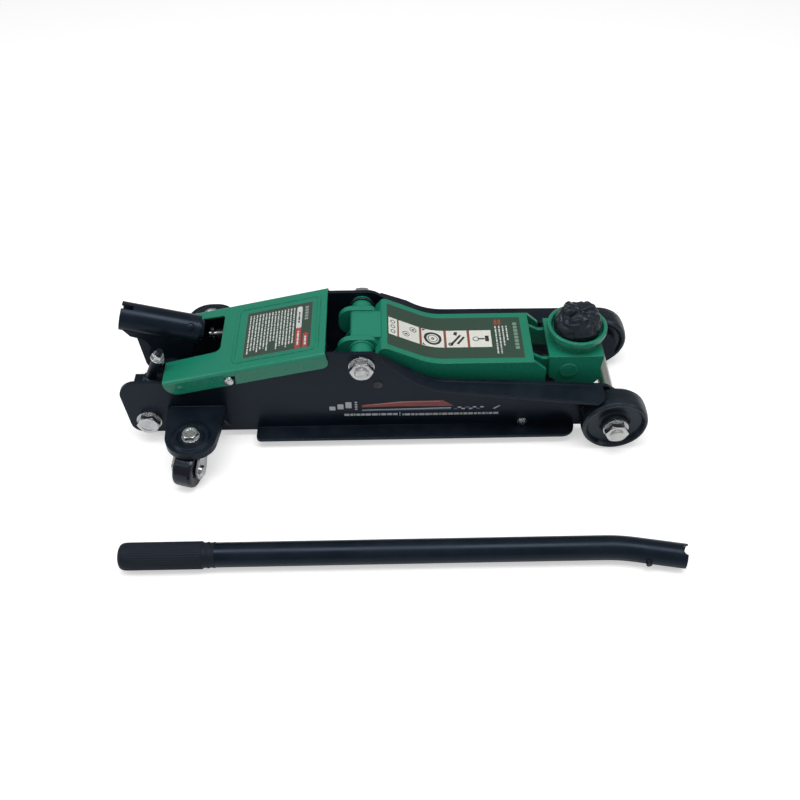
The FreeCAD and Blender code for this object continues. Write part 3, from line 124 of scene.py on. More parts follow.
def stepped(tree, value, low, high):
    """0 below low, 1 above high, and smooth between."""
    node = put(tree, "ShaderNodeMapRange", {"Value": value, "From Min": low, "From Max": high},
               {"interpolation_type": "SMOOTHSTEP"})
    return node.outputs[0]


def cloud(tree, point, scale, detail=3.0, roughness=0.55):
    """Noise between 0 and 1."""
    node = put(tree, "ShaderNodeTexNoise",
               {"Vector": point, "Scale": scale, "Detail": detail, "Roughness": roughness})
    return node.outputs["Fac"]


def soft_edge_group():
    """Rounded-looking edges, and a mask of where the edges are."""
    group, enter, leave = new_group("Soft edge", [("Radius", "NodeSocketFloat", 0.0008)],
                                    [("Normal", "NodeSocketVector"), ("Edge", "NodeSocketFloat")])
    bevel = put(group, "ShaderNodeBevel", {"Radius": enter.outputs["Radius"]}, {"samples": 6})
    true_normal = put(group, "ShaderNodeNewGeometry").outputs["Normal"]
    dot = put(group, "ShaderNodeVectorMath", {0: bevel.outputs[0], 1: true_normal},
              {"operation": "DOT_PRODUCT"})
    edge = stepped(group, maths(group, "SUBTRACT", 1.0, dot.outputs["Value"]), 0.02, 0.25)
    group.links.new(bevel.outputs[0], leave.inputs["Normal"])
    group.links.new(edge, leave.inputs["Edge"])
    return group


def grain_group():
    """Two sizes of unevenness for a bump height, in metres of object space."""
    group, enter, leave = new_group(
        "Surface grain", [("Fine scale", "NodeSocketFloat", 900.0), ("Broad scale", "NodeSocketFloat", 90.0),
                          ("Broad share", "NodeSocketFloat", 0.5)], [("Height", "NodeSocketFloat")])
    point = put(group, "ShaderNodeTexCoord").outputs["Object"]
    fine = cloud(group, point, enter.outputs["Fine scale"], 2.0)
    broad = cloud(group, point, enter.outputs["Broad scale"], 3.0)
    height = put(group, "ShaderNodeMix", {"Factor": enter.outputs["Broad share"], "A": fine, "B": broad})
    group.links.new(height.outputs[0], leave.inputs["Height"])
    return group


def drift_group():
    """A colour that wanders slightly over the surface, with the same wander as a roughness."""
    group, enter, leave = new_group(
        "Colour drift", [("Colour", "NodeSocketColor", (0.5, 0.5, 0.5, 1)),
                         ("Second", "NodeSocketColor", (0.4, 0.4, 0.4, 1)),
                         ("Scale", "NodeSocketFloat", 30.0), ("Amount", "NodeSocketFloat", 0.5),
                         ("Roughness", "NodeSocketFloat", 0.4), ("Roughness spread", "NodeSocketFloat", 0.1)],
        [("Colour", "NodeSocketColor"), ("Roughness", "NodeSocketFloat")])
    point = put(group, "ShaderNodeTexCoord").outputs["Object"]
    wander = stepped(group, cloud(group, point, enter.outputs["Scale"], 4.0), 0.35, 0.68)
    share = maths(group, "MULTIPLY", wander, enter.outputs["Amount"])
    colour = mixed(group, share, enter.outputs["Colour"], enter.outputs["Second"])
    centred = maths(group, "SUBTRACT", wander, 0.5)
    offset = maths(group, "MULTIPLY", centred, enter.outputs["Roughness spread"])
    rough = maths(group, "ADD", enter.outputs["Roughness"], offset, clamp=True)
    group.links.new(colour, leave.inputs["Colour"])
    group.links.new(rough, leave.inputs["Roughness"])
    return group


def wear_group():
    """Thin, broken wear along the edges of a coating: the bare colour shows where the mask says."""
    group, enter, leave = new_group(
        "Edge wear", [("Coating", "NodeSocketColor", (0, 0, 0, 1)),
                      ("Bare", "NodeSocketColor", (0.3, 0.3, 0.3, 1)),
                      ("Edge", "NodeSocketFloat", 0.0), ("Amount", "NodeSocketFloat", 0.4),
                      ("Break-up", "NodeSocketFloat", 260.0)],
        [("Colour", "NodeSocketColor"), ("Mask", "NodeSocketFloat")])
    point = put(group, "ShaderNodeTexCoord").outputs["Object"]
    broken = stepped(group, cloud(group, point, enter.outputs["Break-up"], 4.0, 0.7), 0.42, 0.7)
    mask = maths(group, "MULTIPLY", maths(group, "MULTIPLY", enter.outputs["Edge"], broken),
                 enter.outputs["Amount"], clamp=True)
    worn = mixed(group, mask, enter.outputs["Coating"], enter.outputs["Bare"])
    group.links.new(worn, leave.inputs["Colour"])
    group.links.new(mask, leave.inputs["Mask"])
    return group


def dust_group():
    """A light film on what faces up, denser in patches."""
    group, enter, leave = new_group(
        "Dust film", [("Colour", "NodeSocketColor", (0, 0, 0, 1)), ("Roughness", "NodeSocketFloat", 0.4),
                      ("Dust", "NodeSocketColor", (0.22, 0.23, 0.25, 1)), ("Amount", "NodeSocketFloat", 0.1)],
        [("Colour", "NodeSocketColor"), ("Roughness", "NodeSocketFloat")])
    point = put(group, "ShaderNodeTexCoord").outputs["Object"]
    normal = put(group, "ShaderNodeNewGeometry").outputs["Normal"]
    up = put(group, "ShaderNodeSeparateXYZ", {0: normal}).outputs["Z"]
    patchy = stepped(group, cloud(group, point, 45.0, 5.0, 0.65), 0.3, 0.75)
    film = maths(group, "MULTIPLY", maths(group, "MULTIPLY", stepped(group, up, 0.1, 1.0), patchy),
                 enter.outputs["Amount"], clamp=True)
    dusty = mixed(group, film, enter.outputs["Colour"], enter.outputs["Dust"])
    group.links.new(dusty, leave.inputs["Colour"])
    rough = maths(group, "ADD", enter.outputs["Roughness"], maths(group, "MULTIPLY", film, 0.6), clamp=True)
    group.links.new(rough, leave.inputs["Roughness"])
    return group


GROUPS = {}


def group_node(tree, name, values):
    """The outputs of a shared effect, which is made when it is first used."""
    makers = {"Soft edge": soft_edge_group, "Surface grain": grain_group, "Colour drift": drift_group,
              "Edge wear": wear_group, "Dust film": dust_group}
    if name not in GROUPS:
        GROUPS[name] = makers[name]()
    node = tree.nodes.new("ShaderNodeGroup")
    node.node_tree = GROUPS[name]
    for key, value in values.items():
        if isinstance(value, bpy.types.NodeSocket):
            tree.links.new(value, node.inputs[key])
        else:
            node.inputs[key].default_value = value
    return node.outputs


# ---------------------------------------------------------------- materials

FINISHES = {}
COOL = (0.6, 0.75, 0.95)     # tint of the reflections of black rubber and plastic


def rgba(colour):
    return (*tuple(colour)[:3], 1.0)


def finish(name, colour, second, roughness, spread=0.1, scale=30.0, drift=0.5, metallic=0.0, edge=0.8,
           grain=(900.0, 90.0, 0.5), depth=0.02, wear=0.0, bare=(0.3, 0.3, 0.31), dust=0.0,
           coat=0.0, coat_roughness=0.1, specular=0.5, tint=(1.0, 1.0, 1.0)):
    """A finish made of the shared effects: drifting colour, worn edges, dust, softened edges and grain."""
    if name in FINISHES:
        return FINISHES[name]
    material = bpy.data.materials.new(name)
    material.use_nodes = True
    tree = material.node_tree
    shader = tree.nodes["Principled BSDF"]
    shader.inputs["Metallic"].default_value = metallic
    shader.inputs["Coat Weight"].default_value = coat
    shader.inputs["Coat Roughness"].default_value = coat_roughness
    shader.inputs["Specular IOR Level"].default_value = specular
    shader.inputs["Specular Tint"].default_value = rgba(tint)
    soft = group_node(tree, "Soft edge", {"Radius": edge * MM})
    tone = group_node(tree, "Colour drift", {"Colour": rgba(colour), "Second": rgba(second),
                                             "Scale": scale, "Amount": drift,
                                             "Roughness": roughness, "Roughness spread": spread})
    shade, rough = tone["Colour"], tone["Roughness"]
    if wear:
        worn = group_node(tree, "Edge wear", {"Coating": shade, "Bare": rgba(bare), "Edge": soft["Edge"],
                                              "Amount": wear})
        shade = worn["Colour"]
        if metallic < 0.5:
            tree.links.new(worn["Mask"], shader.inputs["Metallic"])
    if dust:
        film = group_node(tree, "Dust film", {"Colour": shade, "Roughness": rough, "Amount": dust})
        shade, rough = film["Colour"], film["Roughness"]
    tree.links.new(shade, shader.inputs["Base Color"])
    tree.links.new(rough, shader.inputs["Roughness"])
    grain_values = dict(zip(("Fine scale", "Broad scale", "Broad share"), grain))
    height = group_node(tree, "Surface grain", grain_values)["Height"]
    bump = put(tree, "ShaderNodeBump", {"Strength": 1.0, "Distance": depth * MM, "Height": height,
                                        "Normal": soft["Normal"]})
    tree.links.new(bump.outputs[0], shader.inputs["Normal"])
    FINISHES[name] = material
    return material


def dark_paint(looks, name="Blue-black paint", dust=0.025):
    return finish(name, looks.frame_paint, [c * 1.5 for c in looks.frame_paint], 0.34, 0.12, 22.0, 0.5,
                  edge=1.0, grain=(700.0, 140.0, 0.55), depth=0.05, wear=0.1, bare=(0.12, 0.12, 0.13),
                  dust=dust,
                  coat=0.06, coat_roughness=0.2, specular=0.3, tint=(0.5, 0.68, 0.95))


def green_enamel(looks):
    paint = looks.enamel
    lighter = [paint[0] * 1.25, paint[1] * 1.1, paint[2] * 1.15]
    return finish("Green enamel", paint, lighter, 0.3, 0.08, 18.0, 0.4, edge=1.3,
                  grain=(500.0, 90.0, 0.35), depth=0.03, wear=0.02, bare=(0.05, 0.1, 0.07),
                  coat=0.35, coat_roughness=0.12, specular=0.4)


def bright_zinc():
    return finish("Bright zinc", (0.72, 0.73, 0.74), (0.56, 0.58, 0.6), 0.24, 0.16, 120.0, 0.7, metallic=1.0,
                  edge=0.5, grain=(1500.0, 300.0, 0.5), depth=0.02, wear=0.3, bare=(0.85, 0.85, 0.86))


def pale_zinc():
    return finish("Pale zinc bar", (0.74, 0.76, 0.71), (0.6, 0.63, 0.58), 0.36, 0.12, 60.0, 0.6, metallic=1.0,
                  edge=0.4, grain=(1200.0, 200.0, 0.4), depth=0.02)


def machined_steel():
    return finish("Machined steel", (0.42, 0.42, 0.43), (0.3, 0.3, 0.32), 0.34, 0.14, 70.0, 0.6, metallic=1.0,
                  edge=0.4, grain=(1400.0, 240.0, 0.4), depth=0.015, wear=0.3, bare=(0.6, 0.6, 0.61))


def dark_steel():
    return finish("Dark oiled steel", (0.09, 0.09, 0.1), (0.05, 0.05, 0.055), 0.42, 0.16, 60.0, 0.7,
                  metallic=0.85, edge=0.6, grain=(800.0, 150.0, 0.5), depth=0.03)


def polished_rod():
    return finish("Polished rod", (0.7, 0.7, 0.72), (0.6, 0.6, 0.62), 0.12, 0.06, 50.0, 0.4, metallic=1.0,
                  edge=0.4, grain=(2000.0, 300.0, 0.3), depth=0.004)


def spring_wire():
    return finish("Spring wire", (0.36, 0.36, 0.38), (0.22, 0.22, 0.24), 0.35, 0.15, 150.0, 0.6, metallic=1.0,
                  edge=0.2, grain=(1500.0, 300.0, 0.5), depth=0.01)


def saddle_rubber():
    return finish("Saddle rubber", (0.009, 0.012, 0.016), (0.024, 0.03, 0.036), 0.4, 0.24, 55.0, 0.6,
                  edge=0.6, grain=(650.0, 160.0, 0.6), depth=0.1, coat=0.06, coat_roughness=0.25,
                  specular=0.4, tint=COOL)


def grip_rubber():
    return finish("Grip rubber", (0.011, 0.014, 0.021), (0.017, 0.02, 0.028), 0.62, 0.14, 40.0, 0.6, edge=0.3,
                  grain=(1300.0, 220.0, 0.4), depth=0.05, specular=0.3, tint=COOL)


def wheel_black():
    return finish("Wheel black", (0.005, 0.008, 0.012), (0.012, 0.016, 0.021), 0.33, 0.14, 35.0, 0.6,
                  edge=1.0, grain=(600.0, 120.0, 0.5), depth=0.05, wear=0.05, bare=(0.06, 0.065, 0.07),
                  coat=0.14, coat_roughness=0.15, dust=0.02, tint=(0.55, 0.75, 0.95))


def caster_black():
    return finish("Caster black", (0.006, 0.006, 0.01), (0.014, 0.014, 0.02), 0.2, 0.1, 40.0, 0.5, edge=0.8,
                  grain=(500.0, 100.0, 0.5), depth=0.03, coat=0.2, coat_roughness=0.1, tint=COOL)


def print_ink(name, colour, roughness=0.42):
    """Flat ink of a label, with the faint unevenness of print under a clear film."""
    return finish(name, colour, [c * 0.86 for c in colour], roughness, 0.06, 300.0, 0.5, edge=0.05,
                  grain=(1500.0, 400.0, 0.5), depth=0.004, coat=0.25, coat_roughness=0.2)


# ---------------------------------------------------------------- pieces

def piece(name, verts, faces, body, materials, indices=None, smooth=True):
    """A mesh object that rides on a body of the jack."""
    mesh = bpy.data.meshes.new(name)
    mesh.from_pydata([tuple(v) for v in verts], [], faces)
    for material in materials:
        mesh.materials.append(material)
    if indices:
        mesh.polygons.foreach_set("material_index", indices)
    mesh.polygons.foreach_set("use_smooth", [smooth] * len(mesh.polygons))
    mesh.update()
    item = bpy.data.objects.new(name, mesh)
    bpy.context.scene.collection.objects.link(item)
    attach(item, body)
    return item


def coat_nodes(material, *nodes):
    """Gives CAD pieces their finish; their meshes stay as they are."""
    for name in nodes:
        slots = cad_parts[name].material_slots
        for entry in slots:
            entry.material = material
        if not slots:
            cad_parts[name].data.materials.append(material)


def swept(points, radius, sides=10):
    """Vertices and faces of a round bar along points; radius is one number or one for each point."""
    count = len(points)
    radii = [radius] * count if isinstance(radius, (int, float)) else radius
    verts, faces = [], []
    side = None
    for index, point in enumerate(points):
        before, after = points[max(index - 1, 0)], points[min(index + 1, count - 1)]
        forward = (after - before).normalized()
        if side is None:
            side = forward.orthogonal().normalized()
        side = (side - forward * side.dot(forward)).normalized()
        up = forward.cross(side)
        for step in range(sides):
            turn = 2 * math.pi * step / sides
            verts.append(point + (side * math.cos(turn) + up * math.sin(turn)) * radii[index])
    for index in range(count - 1):
        for step in range(sides):
            a, b = index * sides + step, index * sides + (step + 1) % sides
            faces.append((a, b, b + sides, a + sides))
    faces.append(tuple(range(sides))[::-1])
    faces.append(tuple(range((count - 1) * sides, count * sides)))
    return verts, faces


def lathe(profile, centre, axis, across, steps=96, shape=None):
    """Vertices and faces of a profile of (radius, height) turned about an axis; shape may move a vertex."""
    third = axis.cross(across)
    verts, faces = [], []
    for index, (radius, height) in enumerate(profile):
        for step in range(steps):
            turn = 2 * math.pi * step / steps
            r, h = (radius, height) if shape is None else shape(radius, height, turn, index)
            verts.append(centre + axis * h + (across * math.cos(turn) + third * math.sin(turn)) * r)
    for index in range(len(profile) - 1):
        for step in range(steps):
            a, b = index * steps + step, index * steps + (step + 1) % steps
            faces.append((a, b, b + steps, a + steps))
    return verts, faces


# ---------------------------------------------------------------- labels

FIRST_LAYER = 0.06     # millimetres that the lowest ink stands off its surface
LAYER_STEP = 0.05      # and each ink above it


class Label:
    """Prints laid on a CAD piece: each flat shape is dropped onto the surface and lifted by its layer."""

    def __init__(self, node, place, down):
        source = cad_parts[node].data
        corners = [v.co for v in source.vertices]
        self.tree = BVHTree.FromPolygons(corners, [tuple(p.vertices) for p in source.polygons])
        self.place = place              # flat (u, v) to a point in front of the surface
        self.down = down                # direction towards the surface
        self.verts, self.faces, self.indices = [], [], []

    def drop(self, u, v, layer):
        """The point of the surface in front of (u, v), lifted by the ink's layer."""
        hit = self.tree.ray_cast(self.place(u, v), self.down)[0]
        if hit is None:
            raise RuntimeError(f"a label leaves its surface at {u:.1f}, {v:.1f}")
        return hit - self.down * (FIRST_LAYER + LAYER_STEP * layer) * MM

    def strip(self, u0, u1, v0, v1, ink, layer, corner=0.0, steps=1):
        """A rectangle, with rounded corners if asked, cut into steps along u."""
        stations = [u0 + (u1 - u0) * k / steps for k in range(steps + 1)]
        if corner:
            ends = [corner * (1 - math.cos(math.pi / 2 * k / 5)) for k in range(6)]
            inner = [u for u in stations if u0 + corner < u < u1 - corner]
            stations = [u0 + e for e in ends] + inner + [u1 - e for e in reversed(ends)]
        base = len(self.verts)
        for u in stations:
            reach = min(u - u0, u1 - u)
            inset = 0.0
            if corner and reach < corner:
                inset = corner - math.sqrt(max(corner ** 2 - (corner - reach) ** 2, 0))
            self.verts += [self.drop(u, v0 + inset, layer), self.drop(u, v1 - inset, layer)]
        for k in range(len(stations) - 1):
            a = base + 2 * k
            self.faces.append((a, a + 2, a + 3, a + 1))
            self.indices.append(ink)

    def shape(self, corners, ink, layer):
        """Any small convex outline."""
        base = len(self.verts)
        self.verts += [self.drop(u, v, layer) for u, v in corners]
        self.faces.append(tuple(range(base, base + len(corners))))
        self.indices.append(ink)

    def ring(self, u, v, outer, inner, ink, layer, steps=28):
        base = len(self.verts)
        for step in range(steps):
            turn = 2 * math.pi * step / steps
            for radius in (outer, inner):
                self.verts.append(self.drop(u + radius * math.cos(turn), v + radius * math.sin(turn), layer))
        for step in range(steps):
            a, b = base + 2 * step, base + 2 * ((step + 1) % steps)
            self.faces.append((a, b, b + 1, a + 1))
            self.indices.append(ink)

    def words(self, along, v0, v1, ink, layer, seed, across=True):
        """A row of short dashes that reads as a line of small print; along is the row's thickness span."""
        rng = random.Random(seed)
        low, high = along
        here = v1
        while here > v0 + 1.2:
            run = min(rng.uniform(1.6, 6.5), here - v0)
            if across:
                self.strip(low, high, here - run, here, ink, layer)
            else:
                self.strip(here - run, here, low, high, ink, layer)
            here -= run + rng.uniform(0.7, 1.1)

    def make(self, name, body, inks):
        up = -self.down
        for index, face in enumerate(self.faces):
            a, b, c = (self.verts[face[k]] for k in range(3))
            if (b - a).cross(c - a).dot(up) < 0:
                self.faces[index] = face[::-1]
        return piece(name, self.verts, self.faces, body, inks, self.indices, smooth=False)


# ---------------------------------------------------------------- settings

class JackLooks(PropertyGroup):
    frame_paint: FloatVectorProperty(
        name="Frame paint", description="Colour of the side plates, brackets, socket and handle",
        subtype="COLOR", size=3, min=0, max=1, default=(0.0045, 0.008, 0.0135))
    enamel: FloatVectorProperty(
        name="Enamel", description="Colour of the cover, the arm and the saddle's support",
        subtype="COLOR", size=3, min=0, max=1, default=(0.012, 0.235, 0.14))
    label_ground: FloatVectorProperty(
        name="Label ground", description="Ground colour of the two labels",
        subtype="COLOR", size=3, min=0, max=1, default=(0.03, 0.07, 0.045))
    spring_wire: FloatProperty(
        name="Spring wire", description="Wire diameter of the return springs",
        default=0.0014, min=0.0008, max=0.0018, unit="LENGTH")
    grip_ribs: IntProperty(
        name="Grip ribs", description="Number of ribs along the handle's grip", default=36, min=12, max=72)
    saddle_folds: FloatProperty(
        name="Saddle folds", description="How far the saddle's rubber is folded and creased",
        default=0.0022, min=0, max=0.004, unit="LENGTH")
    light: FloatProperty(
        name="Studio light", description="Strength of the studio light", default=1.0, min=0.1, max=4)


# ---------------------------------------------------------------- operators

class JACK_OT_frame_paint(Operator):
    """Paints the welded frame, the brackets, the power unit and the handle socket"""
    bl_idname = "jack.frame_paint"
    bl_label = "Frame paint"

    def execute(self, context):
        looks = context.scene.jack_looks
        coat_nodes(dark_paint(looks), "side_plate_near", "side_plate_far", "caster_bracket_near",
                   "caster_bracket_far", "handle_socket", "power_unit_base", "reservoir_tube", "release_post",
                   "pump_barrel", "release_key")
        return {"FINISHED"}


class JACK_OT_enamel(Operator):
    """Gives the cover, the hub, the arm and the saddle's support their green enamel"""
    bl_idname = "jack.enamel"
    bl_label = "Green enamel"

    def execute(self, context):
        coat_nodes(green_enamel(context.scene.jack_looks), "cover", "arm_hub", "lift_arm", "saddle_support",
                   "support_pin", "tie_pin")
        return {"FINISHED"}


class JACK_OT_fasteners(Operator):
    """Plates the bolts, nuts, washers and caster forks"""
    bl_idname = "jack.fasteners"
    bl_label = "Fasteners"

    def execute(self, context):
        coat_nodes(bright_zinc(), "cover_screws", "frame_tie", "pivot_bolt", "pivot_washers", "pivot_nuts",
                   "axle_washers", "axle_nuts", "rear_bolts", "rear_washers", "caster_bolts", "caster_nuts",
                   "caster_fork_near", "caster_fork_far", "caster_axle_near", "caster_axle_far", "post_nuts")
        coat_nodes(pale_zinc(), "front_axle")
        return {"FINISHED"}


class JACK_OT_running_gear(Operator):
    """Finishes the pins, rods and hydraulic parts"""
    bl_idname = "jack.running_gear"
    bl_label = "Pins and rods"

    def execute(self, context):
        coat_nodes(machined_steel(), "socket_pin", "push_roller", "cam_roller", "cam_pin", "valve_spindle",
                   "filler_plug", "ram_head")
        coat_nodes(dark_steel(), "tie_rods", "tie_rod_anchors", "push_pin", "ram_cylinder", "ram_gland")
        coat_nodes(polished_rod(), "piston_rod", "pump_plunger")
        return {"FINISHED"}


class JACK_OT_wheels(Operator):
    """Finishes the front wheels and the caster wheels"""
    bl_idname = "jack.wheels"
    bl_label = "Wheels"

    def execute(self, context):
        coat_nodes(wheel_black(), "front_wheel_near", "front_wheel_far")
        coat_nodes(caster_black(), "caster_wheel_near", "caster_wheel_far")
        return {"FINISHED"}


class JACK_OT_springs(Operator):
    """Winds the springs of the ram, the pump plunger and the release valve"""
    bl_idname = "jack.springs"
    bl_label = "Springs"

    end_share = 0.06        # share of the turns that lie flat at each end
    end_pitch = 1.1         # what those turns rise, in wire diameters

    def wind(self, low_x, high_x, middle_y, middle_z, radius, wire, turns):
        """A coil along X with flat ends."""
        points = []
        long, flat, rise = high_x - low_x, self.end_share, self.end_pitch * wire
        count = int(turns * 20)
        for index in range(count + 1):
            share = index / count
            if share < flat:
                run = share / flat * rise
            elif share > 1 - flat:
                run = long - (1 - share) / flat * rise
            else:
                run = rise + (share - flat) / (1 - 2 * flat) * (long - 2 * rise)
            run = min(max(run, wire / 2), long - wire / 2)
            turn = 2 * math.pi * turns * share
            points.append(Vector((low_x + run, middle_y + radius * math.cos(turn),
                                  middle_z + radius * math.sin(turn))))
        return swept(points, wire / 2, 8)

    def execute(self, context):
        steel = spring_wire()
        wire = context.scene.jack_looks.spring_wire
        low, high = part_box("return_springs")
        radius = (high.z - low.z) / 2
        coil_radius = radius - wire / 2 - 0.0001
        verts, faces = [], []
        for y in (low.y + radius, high.y - radius):
            more, bands = self.wind(low.x, high.x, y, (low.z + high.z) / 2, coil_radius, wire, 26)
            faces += [tuple(v + len(verts) for v in face) for face in bands]
            verts += more
        springs = piece("return_spring_coils", verts, faces, "frame", [steel])
        springs.parent = None
        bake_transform(springs)
        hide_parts("return_springs")

        low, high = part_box("plunger_spring")
        centre, reach = (low + high) / 2, (high.z - low.z) / 2
        pump_wire = 0.0014
        verts, faces = self.wind(low.x, high.x, centre.y, centre.z, reach - 0.0008, pump_wire, 5.5)
        spring = piece("plunger_spring_coil", verts, faces, "frame", [steel])
        spring.parent = None
        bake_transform(spring)
        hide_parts("plunger_spring")

        low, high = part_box("valve_spring")
        centre, reach = (low + high) / 2, (high.z - low.z) / 2
        valve_wire = 0.001
        verts, faces = self.wind(low.x, high.x, centre.y, centre.z, reach - 0.0006, valve_wire, 6)
        spring = piece("valve_spring_coil", verts, faces, "frame", [steel])
        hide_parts("valve_spring")
        return {"FINISHED"}


class JACK_OT_saddle(Operator):
    """Shapes the saddle: a black rubber-covered dish with creased, blunt lugs"""
    bl_idname = "jack.saddle"
    bl_label = "Saddle"

    def execute(self, context):
        folds = context.scene.jack_looks.saddle_folds
        low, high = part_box("saddle")
        centre = Vector(((low.x + high.x) / 2, (low.y + high.y) / 2, 0))
        rim = (high.x - low.x) / 2 - 0.0006
        top = high.z
        tall = 30.4 * MM
        seat = top - tall
        shape = ((0.02, 0.0), (0.9, 0.0), (0.965, 0.05), (1.0, 0.17), (0.99, 0.33), (0.95, 0.47), (0.89, 0.6),
                 (0.82, 0.72), (0.75, 0.83), (0.67, 0.92), (0.57, 0.975), (0.46, 0.985), (0.34, 0.955),
                 (0.2, 0.91), (0.06, 0.885), (0.01, 0.88))
        profile = []
        for (r0, h0), (r1, h1) in zip(shape, shape[1:]):
            profile += [(r0 + (r1 - r0) * k / 4, h0 + (h1 - h0) * k / 4) for k in range(4)]
        profile = [(rim * r, seat + tall * h) for r, h in profile + [shape[-1]]]

        def crease(radius, height, turn, index):
            """Blunt lugs round the top, and rubber folded over itself in a twist."""
            up = (height - seat) / tall
            out = radius / rim
            here = Vector((math.cos(turn) * out, math.sin(turn) * out, up * 0.9))
            drift = noise.noise(here * 1.6 + Vector((4, 9, 2)))
            swirl = turn + 1.5 * up - 1.1 * out + 0.9 * drift
            lug = 0.5 + 0.5 * math.cos(3 * (turn - 0.55) + 1.4 * drift)
            shoulder = max(0.0, min(1.0, (up - 0.62) / 0.3)) * max(0.0, min(1.0, (out - 0.15) / 0.35))
            height -= (1 - lug) ** 1.4 * shoulder * 6.2 * MM
            fold = abs(math.sin(2.5 * swirl + 1.7 * noise.noise(here * 2.7)))
            second = abs(math.sin(4.0 * (turn * 0.5 - 2.2 * up + 0.8 * drift) + 1.0))
            small = noise.noise(here * 7.0)
            push = folds * (0.95 * (fold ** 0.7 - 0.75) + 0.5 * (second ** 0.6 - 0.8) + 0.22 * small)
            hold = min(1.0, up * 5) * min(1.0, out * 4)
            lean = max(0.0, min(1.0, (up - 0.45) / 0.5))
            new_radius = min(radius + push * hold * (1 - 0.55 * lean), rim)
            new_height = min(height + push * hold * (0.1 + 0.9 * lean), top)
            return new_radius, max(new_height, seat)

        verts, faces = lathe(profile, centre, Vector((0, 0, 1)), Vector((1, 0, 0)), 160, crease)
        saddle = piece("saddle_rubber", verts, faces, "saddle", [saddle_rubber()])
        subdivide = saddle.modifiers.new("Smooth", "SUBSURF")
        subdivide.levels = subdivide.render_levels = 1
        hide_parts("saddle", "saddle_pad")
        return {"FINISHED"}


class JACK_OT_handle(Operator):
    """Paints the loose handle and moulds its ribbed grip"""
    bl_idname = "jack.handle"
    bl_label = "Handle and grip"

    def execute(self, context):
        looks = context.scene.jack_looks
        coat_nodes(dark_paint(looks, "Handle paint", 0.02), "handle_tube")
        low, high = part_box("handle_grip")
        radius = (high.z - low.z) / 2 - 0.0001
        centre = Vector((low.x, (low.y + high.y) / 2, (low.z + high.z) / 2))
        long = high.x - low.x
        ribs = looks.grip_ribs
        profile = [(0.0002, 0.0), (radius * 0.45, 0.0001), (radius * 0.72, 0.0005), (radius * 0.86, 0.0016),
                   (radius * 0.94, 0.0032), (radius * 0.985, 0.0056), (radius, 0.009)]
        body_end = long - 0.0125
        profile += [(radius, 0.009 + (body_end - 0.009) * k / 10) for k in range(1, 11)]
        profile += [(radius - 0.0004, body_end + 0.0004), (radius - 0.0012, body_end + 0.0012),
                    (radius - 0.0013, body_end + 0.0045), (radius - 0.0007, body_end + 0.0052),
                    (radius - 0.0007, body_end + 0.0064), (radius - 0.0014, body_end + 0.0072),
                    (radius - 0.0014, long - 0.0022), (radius - 0.0009, long - 0.0014),
                    (radius - 0.0009, long - 0.0004), (radius - 0.0013, long)]

        def ribbed(r, h, turn, index):
            if 0.008 < h < body_end + 0.0002:
                wave = 0.5 + 0.5 * math.cos(turn * ribs)
                r -= 0.00035 * (1 - wave) ** 2
            return r, h

        verts, faces = lathe(profile, centre, Vector((1, 0, 0)), Vector((0, 0, 1)), ribs * 8, ribbed)
        grip = piece("ribbed_grip", verts, faces, "handle", [grip_rubber()])
        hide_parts("handle_grip")
        return {"FINISHED"}


class JACK_OT_cover_label(Operator):
    """Prints the label on the cover: rows of small print, a two-colour bar and a red block"""
    bl_idname = "jack.cover_label"
    bl_label = "Cover label"

    def execute(self, context):
        looks = context.scene.jack_looks
        label = Label("cover", lambda u, v: at(u, v, 200), Vector((0, 0, -1)))
        label.strip(-121.5, -51.0, -36.0, 32.5, 1, 0, corner=1.5, steps=4)
        label.strip(-121.0, -51.5, -35.5, 32.0, 0, 1, corner=1.2, steps=4)
        rows = 15
        for row in range(rows):
            start = -118.0 + row * 3.35
            reach = -31 + 5.0 * abs(math.sin(row * 2.1)) + (9 if row in (7, 8) else 0)
            label.words((start, start + 1.35), reach, 27.0, 2, 2, 31 + row)
        label.strip(-67.5, -61.8, -6.0, 27.5, 2, 2, corner=2.2, steps=3)
        label.strip(-67.5, -61.8, -35.5, -5.2, 3, 2, corner=0.6, steps=3)
        label.words((-65.6, -63.8), 2.0, 19.0, 0, 3, 71)
        label.words((-65.6, -63.8), -31.0, -10.0, 2, 3, 72)
        label.strip(-59.6, -54.4, -35.5, -14.5, 3, 2, corner=0.6, steps=3)
        label.words((-58.0, -56.0), -32.0, -19.0, 2, 3, 73)
        for row in range(5):
            label.strip(-58.8, -55.2, 5.6 + row * 4.4, 8.8 + row * 4.4, 4, 2, corner=0.5)
        ground = print_ink("Cover label ground", [c * 0.9 + 0.012 for c in looks.label_ground])
        label.make("cover_label", "frame", [ground, print_ink("Label edge", (0.11, 0.16, 0.14)),
                                            print_ink("Label white", (0.68, 0.7, 0.69)),
                                            print_ink("Label red", (0.42, 0.06, 0.055)),
                                            print_ink("Label grey", (0.3, 0.33, 0.32))])
        return {"FINISHED"}


